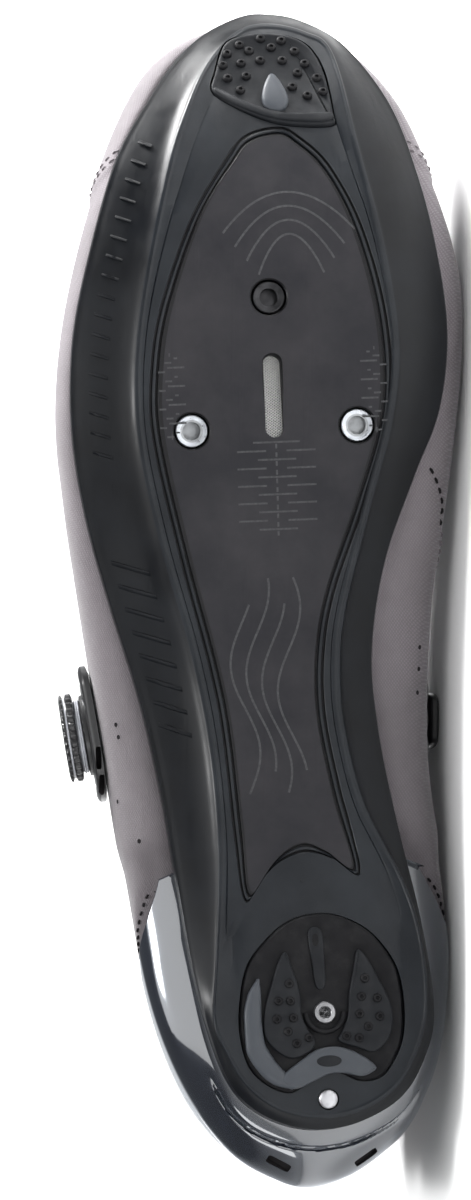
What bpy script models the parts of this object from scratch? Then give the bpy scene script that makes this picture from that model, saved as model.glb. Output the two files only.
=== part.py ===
"""Road cycling shoe for the right foot, lying on its medial side.

Everything is drawn in the shoe's own standing frame: x runs from the back of the
heel to the toe, y towards the medial side, z up from the ground. The last function
lays the finished shoe on its medial side. Tables give lengths as shares of the
named sizes, so that a row follows its size.
"""

import math

import bmesh
import bpy
import numpy as np
from mathutils import Matrix, Vector

MM = 0.001

# Driving sizes of the shoe
SHOE_LENGTH = 278.6 * MM
BALL_WIDTH = 89.1 * MM
LAST_WIDTH = 98.0 * MM
INSTEP_HEIGHT = 103.0 * MM
WAIST_HEIGHT = 37.0 * MM
TOE_SPRING = 32.0 * MM
ARCH_RISE = 11.5 * MM
SIDE_HEIGHT = 9.6 * MM

# Walls of the pieces
PLATE_THICKNESS = 4.5 * MM
SIDE_WALL_HEIGHT = 4.5 * MM
RIM_WIDTH = 3.2 * MM
UPPER_WALL = 1.8 * MM
CUP_WALL = 1.9 * MM
CUP_GAP = 0.95 * MM
TOE_CAP_STATION = 0.8615 * SHOE_LENGTH
TOE_CAP_STEP = 0.6 * MM
SEAM_WIDTH = 1.2 * MM
TONGUE_WALL = 3.0 * MM
TONGUE_TIP = np.array((-4.0, 0.0, 15.0)) * MM
INSOLE_THICKNESS = 3.2 * MM
STRAP_THICKNESS = 1.8 * MM
ANCHOR_THICKNESS = 2.2 * MM

# Clearances
SEAT_GAP = 0.3 * MM
SKIN_GAP = 0.45 * MM
TONGUE_GAP = 0.8 * MM
UPPER_INSET = 1.0 * MM

# Details of the sole
GROOVE_WIDTH = 2.0 * MM
GROOVE_DEPTH = 0.8 * MM
NUT_DIAMETER = 7.5 * MM
NUT_BORE = 4.4 * MM
NUT_HEIGHT = 3.0 * MM
NUT_RECESS = 0.5 * MM
NUT_CLEARANCE = 0.45 * MM
NUT_COUNTERSINK = 0.8 * MM
REAR_NUT_STATION = 0.6332 * SHOE_LENGTH
REAR_NUT_SPACING = 38.8 * MM
FRONT_NUT_LEAD = 30.6 * MM
SLOT_LENGTH = 19.3 * MM
SLOT_WIDTH = 4.2 * MM
SLOT_LEAD = 7.5 * MM
SCREEN_THICKNESS = 0.8 * MM
SCREEN_BORDER = 1.0 * MM
SCREEN_DEPTH = 2.6 * MM
HEEL_RECESS_DEPTH = 3.0 * MM
HEEL_TREAD_DROP = 4.2 * MM
HEEL_WEB = 1.6 * MM
CHANNEL_RADIUS = 5.2 * MM
CHANNEL_LENGTH = 22.0 * MM
CHANNEL_MOUTH = (-8.5 * MM, 7.0 * MM)
STUD_DIAMETER = 2.6 * MM
STUD_HEIGHT = 1.1 * MM
TOE_RECESS_DEPTH = 2.4 * MM
TOE_TREAD_THICKNESS = 2.5 * MM
TOE_TREAD_STATION = 0.9368 * SHOE_LENGTH
TREAD_CLEARANCE = 0.4 * MM
SCREW_DIAMETER = 5.2 * MM
SCREW_STATION = 0.1447 * SHOE_LENGTH
SCREW_HEIGHT = 1.8 * MM
RIVET_DIAMETER = 4.4 * MM
RIVET_STATION = 0.0725 * SHOE_LENGTH
RIVET_DEPTH = 2.4 * MM
RIVET_DOME = 0.1 * MM
HEEL_LINE = 0.0595 * BALL_WIDTH
CUT_REACH = 9.0 * MM

# Dial closure and straps. A span holds shares of the quarter turn over the arch.
DIAL_STATION = 0.3948 * SHOE_LENGTH
DIAL_DIAMETER = 21.0 * MM
DIAL_HEIGHT = 3.4 * MM
DIAL_RING_HEIGHT = 1.0 * MM
DIAL_BASE_LENGTH = 32.0 * MM
DIAL_BASE_THICKNESS = 2.2 * MM
DIAL_BASE_SPAN = (-0.02, 0.22)
DIAL_PAD_RISE = 0.6 * MM
INSTEP_STRAP_WIDTH = 20.0 * MM
INSTEP_STRAP_ENDS = (0.26, 0.05)
ANCHOR_WIDTH = 13.4 * MM
ANCHOR_SPAN = (0.06, 0.24)
FOREFOOT_STRAP_STATION = 0.5707 * SHOE_LENGTH
FOREFOOT_STRAP_WIDTH = 17.0 * MM
FOREFOOT_STRAP_ENDS = (0.34, 0.30)

# Weights that settle the resting pose, in kilograms per cubic metre
PLASTIC_DENSITY = 1100.0
DENSITY = {
    "upper": 900.0, "instep_strap": 900.0, "forefoot_strap": 900.0,
    "tongue": 300.0, "insole": 300.0,
    "cleat_nut_front": 7850.0, "cleat_nut_rear_lateral": 7850.0, "cleat_nut_rear_medial": 7850.0,
}

# Fineness of the meshes
SPAN_POINTS = 8
NUT_SIDES = 20
PIN_SIDES = 14
DIAL_SIDES = 28
RIGHT_ANGLE = math.pi / 2

# Outlines seen from below: share of SHOE_LENGTH, share of BALL_WIDTH
SOLE_EDGE = (
    (0.048, 0.045), (0.053, -0.051), (0.068, -0.138), (0.092, -0.198), (0.135, -0.242),
    (0.186, -0.276), (0.263, -0.303), (0.340, -0.330), (0.417, -0.373), (0.493, -0.438),
    (0.568, -0.496), (0.643, -0.525), (0.718, -0.511), (0.794, -0.451), (0.871, -0.365),
    (0.924, -0.263), (0.958, -0.185), (0.983, -0.097), (0.998, 0.002), (1.000, 0.072),
    (0.993, 0.163), (0.968, 0.272), (0.914, 0.371), (0.854, 0.422), (0.788, 0.457),
    (0.711, 0.475), (0.645, 0.444), (0.592, 0.374), (0.523, 0.290), (0.449, 0.247),
    (0.382, 0.254), (0.304, 0.288), (0.215, 0.333), (0.142, 0.351), (0.101, 0.316),
    (0.071, 0.250), (0.053, 0.143),
)
RIDGE_LINE = (
    (0.057, 0.045), (0.065, -0.067), (0.086, -0.153), (0.115, -0.204), (0.141, -0.232),
    (0.193, -0.218), (0.285, -0.194), (0.370, -0.201), (0.455, -0.242), (0.555, -0.321),
    (0.645, -0.364), (0.736, -0.341), (0.851, -0.249), (0.913, -0.174), (0.955, -0.101),
    (0.983, -0.011), (0.989, 0.073), (0.980, 0.168), (0.959, 0.231), (0.871, 0.268),
    (0.780, 0.314), (0.700, 0.337), (0.636, 0.312), (0.570, 0.251), (0.481, 0.172),
    (0.432, 0.153), (0.382, 0.158), (0.318, 0.198), (0.253, 0.285), (0.201, 0.324),
    (0.144, 0.328), (0.106, 0.294), (0.079, 0.236), (0.062, 0.146),
)
GROOVE_LINE = (
    (0.243, -0.125), (0.293, -0.138), (0.378, -0.153), (0.437, -0.180), (0.536, -0.253),
    (0.627, -0.310), (0.682, -0.310), (0.739, -0.274), (0.812, -0.182), (0.862, -0.079),
    (0.882, -0.022), (0.888, 0.062), (0.879, 0.109), (0.854, 0.177), (0.804, 0.244),
    (0.734, 0.293), (0.672, 0.304), (0.626, 0.282), (0.566, 0.218), (0.498, 0.137),
    (0.449, 0.104), (0.395, 0.099), (0.331, 0.128), (0.263, 0.168), (0.276, 0.099),
    (0.283, 0.039), (0.278, -0.017), (0.265, -0.066),
)
HEEL_TREAD_LINE = (
    (0.228, 0.065), (0.221, 0.143), (0.206, 0.205), (0.181, 0.254), (0.151, 0.269),
    (0.122, 0.263), (0.102, 0.236), (0.089, 0.201), (0.086, 0.148), (0.093, 0.097),
    (0.096, 0.063), (0.091, 0.026), (0.082, -0.015), (0.079, -0.048), (0.086, -0.100),
    (0.101, -0.145), (0.124, -0.165), (0.149, -0.166), (0.182, -0.145), (0.202, -0.103),
    (0.222, -0.027),
)
TOE_TREAD_LINE = (
    (0.942, -0.094), (0.970, -0.058), (0.979, -0.007), (0.981, 0.062), (0.977, 0.126),
    (0.966, 0.174), (0.942, 0.204), (0.903, 0.214), (0.892, 0.207), (0.892, 0.116),
    (0.897, 0.039), (0.908, -0.035), (0.921, -0.095), (0.930, -0.107),
)
# The upper's widest line: share of SHOE_LENGTH, share of LAST_WIDTH
LAST_LINE = (
    (0.000, 0.020), (0.007, -0.056), (0.033, -0.169), (0.087, -0.272), (0.164, -0.345),
    (0.267, -0.381), (0.372, -0.410), (0.475, -0.448), (0.576, -0.487), (0.660, -0.502),
    (0.751, -0.465), (0.854, -0.373), (0.933, -0.266), (0.971, -0.168), (0.988, -0.061),
    (0.994, 0.051), (0.987, 0.158), (0.964, 0.270), (0.922, 0.362), (0.868, 0.420),
    (0.787, 0.479), (0.709, 0.486), (0.587, 0.439), (0.489, 0.391), (0.360, 0.366),
    (0.254, 0.387), (0.177, 0.385), (0.102, 0.344), (0.052, 0.273), (0.027, 0.200),
    (0.008, 0.112),
)

# Heights of the sole: station as share of SHOE_LENGTH, shares of TOE_SPRING and
# ARCH_RISE that lift the plateau, share of SIDE_HEIGHT from plateau to feather line
SOLE_HEIGHTS = (
    (0.047, 0.00, 0.66, 0.55), (0.090, 0.00, 0.52, 0.68), (0.144, 0.00, 0.46, 0.76),
    (0.215, 0.00, 0.57, 0.83), (0.287, 0.00, 0.83, 0.89), (0.359, 0.00, 0.98, 0.95),
    (0.413, 0.00, 1.00, 0.95), (0.485, 0.00, 0.82, 0.95), (0.556, 0.00, 0.50, 0.96),
    (0.628, 0.00, 0.19, 1.00), (0.700, 0.01, 0.02, 1.01), (0.754, 0.02, 0.00, 1.04),
    (0.808, 0.08, 0.00, 1.08), (0.861, 0.22, 0.00, 1.04), (0.915, 0.44, 0.00, 0.99),
    (0.962, 0.70, 0.00, 0.89), (1.000, 0.96, 0.00, 0.70),
)
# Side band from the ridge (0) to the edge (1): rise of a round and of a cove profile
BAND_PROFILE = (
    (0.00, 0.00, 0.00), (0.10, 0.03, 0.32), (0.26, 0.10, 0.58), (0.45, 0.24, 0.72),
    (0.65, 0.47, 0.82), (0.84, 0.76, 0.92), (0.96, 0.96, 1.00),
)
# How much of the cove profile each side has along the station
COVE_SHARE = (
    (0.05, 0.0, 0.0), (0.14, 0.2, 0.2), (0.25, 0.9, 0.8), (0.50, 1.0, 0.7),
    (0.62, 0.7, 0.1), (0.80, 0.6, 0.0), (0.93, 0.4, 0.0), (1.00, 0.0, 0.0),
)
# Sections of the upper: station, height of the widest line as share of WAIST_HEIGHT,
# height of the arch's top as share of INSTEP_HEIGHT, sharpness of the arch, and the
# edge of collar and throat as share of the quarter turn from the widest line to the top
LAST_SECTIONS = (
    (0.000, 0.62, 1.640, 1.00, 0.294), (0.029, 0.62, 1.605, 1.00, 0.297),
    (0.072, 0.62, 1.455, 1.05, 0.317), (0.115, 0.63, 1.207, 1.10, 0.357),
    (0.162, 0.65, 1.012, 1.15, 0.403), (0.215, 0.72, 0.893, 1.20, 0.475),
    (0.270, 0.80, 0.930, 1.20, 0.558), (0.310, 0.88, 0.996, 1.20, 0.621),
    (0.341, 0.90, 1.040, 1.20, 0.660), (0.395, 0.92, 1.000, 1.20, 0.684),
    (0.467, 0.86, 0.898, 1.20, 0.749),
    (0.538, 0.72, 0.810, 1.18, 0.803), (0.610, 0.60, 0.728, 1.15, 0.860),
    (0.664, 0.54, 0.675, 1.12, 0.911), (0.693, 0.53, 0.648, 1.10, 0.956),
    (0.707, 0.53, 0.632, 1.10, 1.000), (0.754, 0.55, 0.587, 1.06, 1.000),
    (0.800, 0.61, 0.554, 1.04, 1.000), (0.843, 0.68, 0.538, 1.02, 1.000),
    (0.890, 0.80, 0.538, 1.05, 1.000), (0.960, 1.00, 0.538, 1.15, 1.000),
    (0.995, 1.12, 0.538, 1.15, 1.000),
)
# Top of the heel cup: station, share of the way from feather line to collar
CUP_TOP = (
    (0.000, 0.66), (0.072, 0.66), (0.130, 0.59), (0.160, 0.50), (0.182, 0.41), (0.198, 0.33),
    (0.208, 0.27), (0.220, 0.20), (0.232, 0.15), (0.244, 0.11), (0.262, 0.07),
)
# Side of the tongue: station, share of the quarter turn over the arch
TONGUE_EDGE = ((0.33, 0.72), (0.42, 0.64), (0.55, 0.66), (0.70, 0.78))
WIDEST_LEVEL = 0.3
CUP_FRONT_STATION = 0.256
SINK_END_STATION = 0.300
LEVELS = (0, 0.08, 0.17, WIDEST_LEVEL, 0.43, 0.56, 0.69, 0.82, 0.92, 1)
WIDEST_ROW = LEVELS.index(WIDEST_LEVEL)
# Spine that the shoe's rays start from: ends as shares of SHOE_LENGTH, its y as share
# of BALL_WIDTH
SPINE = (0.310, 0.843, 0.022)
# Studs of the treads: share of SHOE_LENGTH, share of BALL_WIDTH
HEEL_STUDS = (
    (0.1206, -0.108), (0.1328, -0.072), (0.1120, -0.049), (0.1457, -0.103), (0.1597, -0.083),
    (0.1005, -0.085), (0.1816, 0.164), (0.1651, 0.195), (0.1665, 0.148), (0.1493, 0.207),
    (0.1500, 0.150), (0.1378, 0.180), (0.1263, 0.153), (0.1113, 0.184),
)
TOE_STUDS = (
    (0.9666, -0.004), (0.9706, 0.045), (0.9677, 0.097), (0.9555, -0.043), (0.9573, 0.013),
    (0.9580, 0.072), (0.9544, 0.126), (0.9436, -0.058), (0.9451, 0.004), (0.9447, 0.108),
    (0.9415, 0.159), (0.9307, -0.047), (0.9293, 0.150), (0.9164, 0.123), (0.9153, 0.180),
    (0.9239, 0.000),
)


def clear_scene():
    for thing in list(bpy.data.objects):
        bpy.data.objects.remove(thing, do_unlink=True)


def material(name, colour, roughness, metallic=0.0):
    finish = bpy.data.materials.new(name)
    finish.use_nodes = True
    shader = finish.node_tree.nodes["Principled BSDF"]
    shader.inputs["Base Color"].default_value = (*colour, 1.0)
    shader.inputs["Roughness"].default_value = roughness
    shader.inputs["Metallic"].default_value = metallic
    return finish


def curve_value(rows, column, stations):
    """Smooth curve through one column of a table, which never overshoots its rows."""
    xs = np.array([row[0] for row in rows])
    ys = np.array([row[column] for row in rows])
    steps = np.diff(xs)
    slopes = np.diff(ys) / steps
    tangents = np.concatenate(([slopes[0]], np.zeros(len(xs) - 2), [slopes[-1]]))
    before, after = slopes[:-1], slopes[1:]
    same = before * after > 0
    tangents[1:-1][same] = 2 * (before * after)[same] / (before + after)[same]
    x = np.clip(stations, xs[0], xs[-1])
    i = np.clip(np.searchsorted(xs, x) - 1, 0, len(xs) - 2)
    t = (x - xs[i]) / steps[i]
    rise = ys[i + 1] - ys[i]
    a, b = steps[i] * tangents[i] - rise, rise - steps[i] * tangents[i + 1]
    return ys[i] + t * rise + t * (1 - t) * (a * (1 - t) + b * t)


def outline(rows, width):
    """Closed smooth line in plan through a table's points, in metres."""
    points = np.array(rows) * (SHOE_LENGTH, width)
    before, after = np.roll(points, 1, axis=0), np.roll(points, -1, axis=0)
    beyond = np.roll(points, -2, axis=0)
    line = []
    for step in range(SPAN_POINTS):
        t = step / SPAN_POINTS
        line.append(0.5 * (2 * points + t * (after - before)
                           + t**2 * (2 * before - 5 * points + 4 * after - beyond)
                           + t**3 * (3 * points - before - 3 * after + beyond)))
    return np.stack(line, axis=1).reshape(-1, 2)


def reach(line, starts, directions):
    """Distance from each start to the closed line, along each direction."""
    ends = np.roll(line, -1, axis=0)
    edge = (ends - line)[None]
    gap = line[None] - starts[:, None]
    cross = directions[:, None, 0] * edge[..., 1] - directions[:, None, 1] * edge[..., 0]
    cross = np.where(np.abs(cross) < 1e-15, 1e-15, cross)
    along = (gap[..., 0] * edge[..., 1] - gap[..., 1] * edge[..., 0]) / cross
    share = (gap[..., 0] * directions[:, None, 1] - gap[..., 1] * directions[:, None, 0]) / cross
    hit = (share >= -1e-9) & (share <= 1 + 1e-9) & (along > 0)
    return np.where(hit, along, 0).max(axis=1)


def evenly(line, count):
    """Points at even spacing along an open line, without its two ends."""
    run = np.concatenate(([0], np.cumsum(np.linalg.norm(np.diff(line, axis=0), axis=1))))
    at = np.linspace(0, run[-1], count + 2)[1:-1]
    return np.stack([np.interp(at, run, line[:, k]) for k in (0, 1)], axis=1)


def cap_seam(line, middle):
    """Two points close together on each side, for the step at the toe cap's seam."""
    points = []
    for side in (-1, 1):
        half = line[(line[:, 1] - middle) * side > 0]
        half = half[np.argsort(half[:, 0])]
        for x in (TOE_CAP_STATION, TOE_CAP_STATION + SEAM_WIDTH):
            points.append((x, np.interp(x, half[:, 0], half[:, 1])))
    return np.array(points)


def columns(line, straight, toe, heel):
    """Rays in plan from the straight spine to a closed line, fanned at both ends:
    along the lateral side, round the toe, back on the medial side, round the heel."""
    back, front, middle = SPINE[0] * SHOE_LENGTH, SPINE[1] * SHOE_LENGTH, SPINE[2] * BALL_WIDTH
    stations = np.linspace(back, front, straight)
    side = np.stack([stations, np.full(straight, middle)], axis=1)
    nose, tail = line[line[:, 0] > front], line[line[:, 0] < back]
    nose = nose[np.argsort(np.arctan2(nose[:, 1] - middle, nose[:, 0] - front))]
    nose = np.concatenate([evenly(nose, toe), cap_seam(nose, middle)])
    nose = nose[np.argsort(np.arctan2(nose[:, 1] - middle, nose[:, 0] - front))]
    toe = len(nose)
    tail = evenly(tail[np.argsort(-np.arctan2(tail[:, 1] - middle, back - tail[:, 0]))], heel)
    front_point, back_point = np.array([front, middle]), np.array([back, middle])
    starts = np.concatenate([side, np.tile(front_point, (toe, 1)), side[::-1],
                             np.tile(back_point, (heel, 1))])
    down, up = np.tile([0.0, -1.0], (straight, 1)), np.tile([0.0, 1.0], (straight, 1))
    directions = np.concatenate([down, nose - front_point, up, tail - back_point])
    return starts, directions / np.linalg.norm(directions, axis=1)[:, None]


def base_height(x):
    """Lowest line of the sole, above the ground."""
    share = x / SHOE_LENGTH
    toe = curve_value(SOLE_HEIGHTS, 1, share) * TOE_SPRING
    return toe + curve_value(SOLE_HEIGHTS, 2, share) * ARCH_RISE


def feather_height(x):
    """Line where the sole's rim meets the upper."""
    return base_height(x) + curve_value(SOLE_HEIGHTS, 3, x / SHOE_LENGTH) * SIDE_HEIGHT


def base_slope(x):
    return (base_height(x + MM) - base_height(x - MM)) / (2 * MM)


def at_reach(starts, directions, distance):
    return starts + directions * np.asarray(distance)[..., None]


def solid_points(plan, height):
    return np.concatenate([plan, np.asarray(height)[:, None]], axis=1)


def band_height(starts, directions, share):
    """Underside of the sole between the ridge (0) and the edge (1)."""
    edge, ridge = reach(EDGE, starts, directions), reach(RIDGE, starts, directions)
    plan = at_reach(starts, directions, ridge + share * (edge - ridge))
    rim = at_reach(starts, directions, edge)
    side = np.where(rim[:, 1] < 0, 1.0, 0.0)
    station = rim[:, 0] / SHOE_LENGTH
    cove = side * curve_value(COVE_SHARE, 1, station)
    cove += (1 - side) * curve_value(COVE_SHARE, 2, station)
    rise = curve_value(BAND_PROFILE, 1, share) * (1 - cove)
    rise += curve_value(BAND_PROFILE, 2, share) * cove
    base = base_height(plan[:, 0])
    low = feather_height(rim[:, 0]) - SIDE_WALL_HEIGHT
    return plan, base + rise * (low - base)


def footbed(starts, directions, inset):
    """Top of the sole's plate, at a distance in from the edge."""
    edge, ridge = reach(EDGE, starts, directions), reach(RIDGE, starts, directions)
    share = np.clip((edge - inset - ridge) / (edge - ridge), 0, 1)
    plan, height = band_height(starts, directions, share)
    inner = at_reach(starts, directions, edge - inset)
    roof = feather_height(at_reach(starts, directions, edge)[:, 0]) - 0.2 * SIDE_WALL_HEIGHT
    return inner, np.minimum(height + PLATE_THICKNESS * (1 - 0.2 * share), roof)


def ring_mesh(name, rings, finish, closed=None):
    """Skin over rings of points, which welds where points coincide. With closed given,
    the rings are a wall's outer and then inner ones: the last ring joins the first, and
    no edge is made at the top of the columns that closed marks."""
    shape = bmesh.new()
    rows = [[shape.verts.new(point) for point in ring] for ring in rings]
    count = len(rows[0])
    pairs = list(zip(rows, rows[1:]))
    if closed is not None:
        pairs.append((rows[-1], rows[0]))
    top = rows[len(rows) // 2 - 1]
    for lower, higher in pairs:
        for i in range(count):
            j = (i + 1) % count
            if closed is None or lower is not top or not (closed[i] and closed[j]):
                shape.faces.new((lower[i], lower[j], higher[j], higher[i]))
    bmesh.ops.remove_doubles(shape, verts=shape.verts, dist=1e-6)
    bmesh.ops.dissolve_degenerate(shape, edges=shape.edges, dist=1e-6)
    outward_sign(shape)
    return finished(name, shape, finish)


def finished(name, shape, finish):
    mesh = bpy.data.meshes.new(name)
    shape.to_mesh(mesh)
    shape.free()
    piece = bpy.data.objects.new(name, mesh)
    bpy.context.scene.collection.objects.link(piece)
    if finish:
        mesh.materials.append(finish)
    mesh.shade_smooth()
    mesh.set_sharp_from_angle(angle=math.radians(35))
    return piece


def outward_sign(shape):
    """Turn the faces of a closed form outward."""
    bmesh.ops.recalc_face_normals(shape, faces=shape.faces)
    if shape.calc_volume(signed=True) < 0:
        bmesh.ops.reverse_faces(shape, faces=shape.faces)


def grid_normals(grid):
    """Unit normals of a grid of points, turned away from the shoe's middle."""
    across, along = np.gradient(grid, axis=0), np.gradient(grid, axis=1)
    normals = np.cross(across, along)
    normals /= np.maximum(np.linalg.norm(normals, axis=2), 1e-12)[..., None]
    middle = grid.reshape(-1, 3).mean(axis=0) - (0, 0, WAIST_HEIGHT)
    flip = np.sign((normals * (grid - middle)).sum(axis=2).sum())
    return normals * flip


def sheet_solid(name, grid, inner, outer, finish):
    """Closed sheet between two offsets of a grid of points."""
    normals = grid_normals(grid)
    shape = bmesh.new()
    skins = []
    for offset in (inner, outer):
        points = grid + normals * offset
        skins.append([[shape.verts.new(point) for point in row] for row in points])
    rows, width = grid.shape[0], grid.shape[1]
    for skin in skins:
        for i in range(rows - 1):
            for j in range(width - 1):
                shape.faces.new((skin[i][j], skin[i + 1][j], skin[i + 1][j + 1], skin[i][j + 1]))
    rim = [(i, 0) for i in range(rows)] + [(rows - 1, j) for j in range(1, width)]
    rim += [(i, width - 1) for i in range(rows - 2, -1, -1)] + [(0, j) for j in range(width - 2, 0, -1)]
    for (a, b), (c, d) in zip(rim, rim[1:] + rim[:1]):
        shape.faces.new((skins[0][a][b], skins[0][c][d], skins[1][c][d], skins[1][a][b]))
    outward_sign(shape)
    return finished(name, shape, finish)


def prism(name, line, bottom, top, finish=None):
    """Upright block over a closed plan line."""
    shape = bmesh.new()
    lower = [shape.verts.new((x, y, bottom)) for x, y in line]
    upper = [shape.verts.new((x, y, top)) for x, y in line]
    for i in range(len(line)):
        j = (i + 1) % len(line)
        shape.faces.new((lower[i], lower[j], upper[j], upper[i]))
    shape.faces.new(lower)
    shape.faces.new(upper)
    outward_sign(shape)
    return finished(name, shape, finish)


def circle(radius, sides, centre=(0.0, 0.0)):
    angles = [2 * math.pi * k / sides for k in range(sides)]
    return [(centre[0] + radius * math.cos(a), centre[1] + radius * math.sin(a)) for a in angles]


def turned(name, profile, sides, finish):
    """Round piece about z: rows of radius and height, closed on the axis."""
    rings = [[(r * math.cos(a), r * math.sin(a), z)
              for a in (2 * math.pi * k / sides for k in range(sides))] for r, z in profile]
    shape = bmesh.new()
    rows = [[shape.verts.new(point) for point in ring] for ring in rings]
    for lower, higher in zip(rows, rows[1:]):
        for i in range(sides):
            j = (i + 1) % sides
            shape.faces.new((lower[i], lower[j], higher[j], higher[i]))
    shape.faces.new(rows[0])
    shape.faces.new(rows[-1])
    outward_sign(shape)
    return finished(name, shape, finish)


def cutter(piece):
    piece.hide_render = True
    piece.display_type = "WIRE"
    return piece


def combine(piece, other, operation):
    boolean = piece.modifiers.new(other.name, "BOOLEAN")
    boolean.operation = operation
    boolean.object = cutter(other)
    boolean.solver = "EXACT"


def place(piece, origin, axis):
    """Stand a piece's z axis along an axis at a point."""
    quaternion = Vector((0, 0, 1)).rotation_difference(Vector(axis))
    piece.matrix_world = Matrix.Translation(Vector(origin)) @ quaternion.to_matrix().to_4x4()
    return piece


def sole_normal(x):
    """Direction out of the sole's underside at a station."""
    slope = float(base_slope(x))
    return Vector((slope, 0, -1)).normalized()


def sole_point(x, y, depth=0.0):
    """Point on the sole's plateau, or a depth inside it."""
    return Vector((x, y, float(base_height(x)))) - sole_normal(x) * depth


def slot_line(length, width, centre, sides=8):
    """Plan line of a slot with round ends, along x."""
    half, radius = (length - width) / 2, width / 2
    points = []
    for end, start in ((half, -RIGHT_ANGLE), (-half, RIGHT_ANGLE)):
        for k in range(sides + 1):
            a = start + math.pi * k / sides
            points.append((centre + end + radius * math.cos(a), radius * math.sin(a)))
    return points


def inner_line(line, gap):
    """Closed plan line drawn in by a gap."""
    line = np.array(line)
    along = np.roll(line, -1, axis=0) - np.roll(line, 1, axis=0)
    across = np.stack([-along[:, 1], along[:, 0]], axis=1)
    across /= np.linalg.norm(across, axis=1)[:, None]
    turn = (line[:, 0] * np.roll(line[:, 1], -1) - line[:, 1] * np.roll(line[:, 0], -1)).sum()
    return line + across * gap * np.sign(turn)


def last_point(starts, directions, level):
    """Outer face of the upper: level 0 at the feather line, WIDEST_LEVEL at the widest
    line, 1 at the collar or throat edge. Levels above 1 go on over the throat."""
    edge, wide = reach(EDGE, starts, directions), reach(LAST, starts, directions)
    station = at_reach(starts, directions, wide)[:, 0] / SHOE_LENGTH
    top_station = np.minimum(station, SPINE[1])
    low = feather_height(at_reach(starts, directions, edge)[:, 0]) + SEAT_GAP
    middle = curve_value(LAST_SECTIONS, 1, station) * WAIST_HEIGHT
    top = curve_value(LAST_SECTIONS, 2, top_station) * INSTEP_HEIGHT
    sharp = curve_value(LAST_SECTIONS, 3, station)
    end = curve_value(LAST_SECTIONS, 4, station)
    level = np.broadcast_to(level, station.shape)
    under = np.clip(level / WIDEST_LEVEL, 0, 1) * RIGHT_ANGLE
    over = np.clip((level - WIDEST_LEVEL) / (1 - WIDEST_LEVEL), 0, None) * end
    over = np.minimum(over, 1) * RIGHT_ANGLE
    inset = edge - UPPER_INSET
    lower = level < WIDEST_LEVEL
    distance = np.where(lower, inset + (wide - inset) * np.sin(under),
                        wide * np.maximum(np.cos(over), 0) ** sharp)
    height = np.where(lower, low + (middle - low) * (1 - np.cos(under)),
                      middle + (top - middle) * np.sin(over))
    return solid_points(at_reach(starts, directions, distance), height)


def over_level(station, angle_share):
    """Level of last_point at a share of the quarter turn over the arch."""
    end = curve_value(LAST_SECTIONS, 4, station / SHOE_LENGTH)
    return WIDEST_LEVEL + (1 - WIDEST_LEVEL) * angle_share / end


def side_columns(stations, side):
    """Rays straight out from the last's spine, to the lateral (-1) or medial (1) side."""
    starts = np.stack([stations, np.full(len(stations), SPINE[2] * BALL_WIDTH)], axis=1)
    return starts, np.tile([0.0, float(side)], (len(stations), 1))


def arch_grid(stations, lateral_share, medial_share, steps):
    """Grid over the arch, from a share of its turn on one side to the other side's."""
    grid = []
    for side, edge_share in ((-1, lateral_share), (1, medial_share)):
        starts, directions = side_columns(stations, side)
        half = [last_point(starts, directions, over_level(stations, edge_share + (1 - edge_share) * k))
                for k in np.linspace(0, 1, steps)]
        grid.append(half)
    return np.array(grid[0] + grid[1][-2::-1])


def plate_rings(lift):
    """Rings over the footbed from the spine out to the insole's edge, lifted."""
    edge, ridge = reach(EDGE, *RAYS), reach(RIDGE, *RAYS)
    flat = np.minimum(ridge, edge - INSOLE_INSET - 0.5 * MM)
    rings = []
    for share in (0, 0.35, 0.7):
        plan = at_reach(*RAYS, share * flat)
        rings.append(solid_points(plan, base_height(plan[:, 0]) + PLATE_THICKNESS))
    rings.append(solid_points(*footbed(*RAYS, edge - flat)))
    rings.append(solid_points(*footbed(*RAYS, INSOLE_INSET)))
    return [ring + (0, 0, lift) for ring in rings]


def make_outsole(finish):
    edge, groove = reach(EDGE, *RAYS), reach(GROOVE, *RAYS)
    rim = at_reach(*RAYS, edge)
    feather = feather_height(rim[:, 0])
    rings = plate_rings(0)
    rings.append(solid_points(*footbed(*RAYS, RIM_WIDTH)))
    rings.append(solid_points(at_reach(*RAYS, edge - 0.8 * RIM_WIDTH), feather))
    rings.append(solid_points(at_reach(*RAYS, edge - 0.1 * RIM_WIDTH), feather))
    rings.append(solid_points(rim, feather - 0.15 * SIDE_WALL_HEIGHT))
    rings.append(solid_points(rim, feather - 0.75 * SIDE_WALL_HEIGHT))
    for row in reversed(BAND_PROFILE):
        rings.append(solid_points(*band_height(*RAYS, row[0])))
    half = GROOVE_WIDTH / 2
    for offset, depth in ((half, 0), (0.6 * half, GROOVE_DEPTH), (-0.6 * half, GROOVE_DEPTH), (-half, 0)):
        plan = at_reach(*RAYS, groove + offset)
        rings.append(solid_points(plan, base_height(plan[:, 0]) + depth))
    rings.append(solid_points(RAYS[0], base_height(RAYS[0][:, 0])))
    return ring_mesh("outsole", rings, finish)


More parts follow.
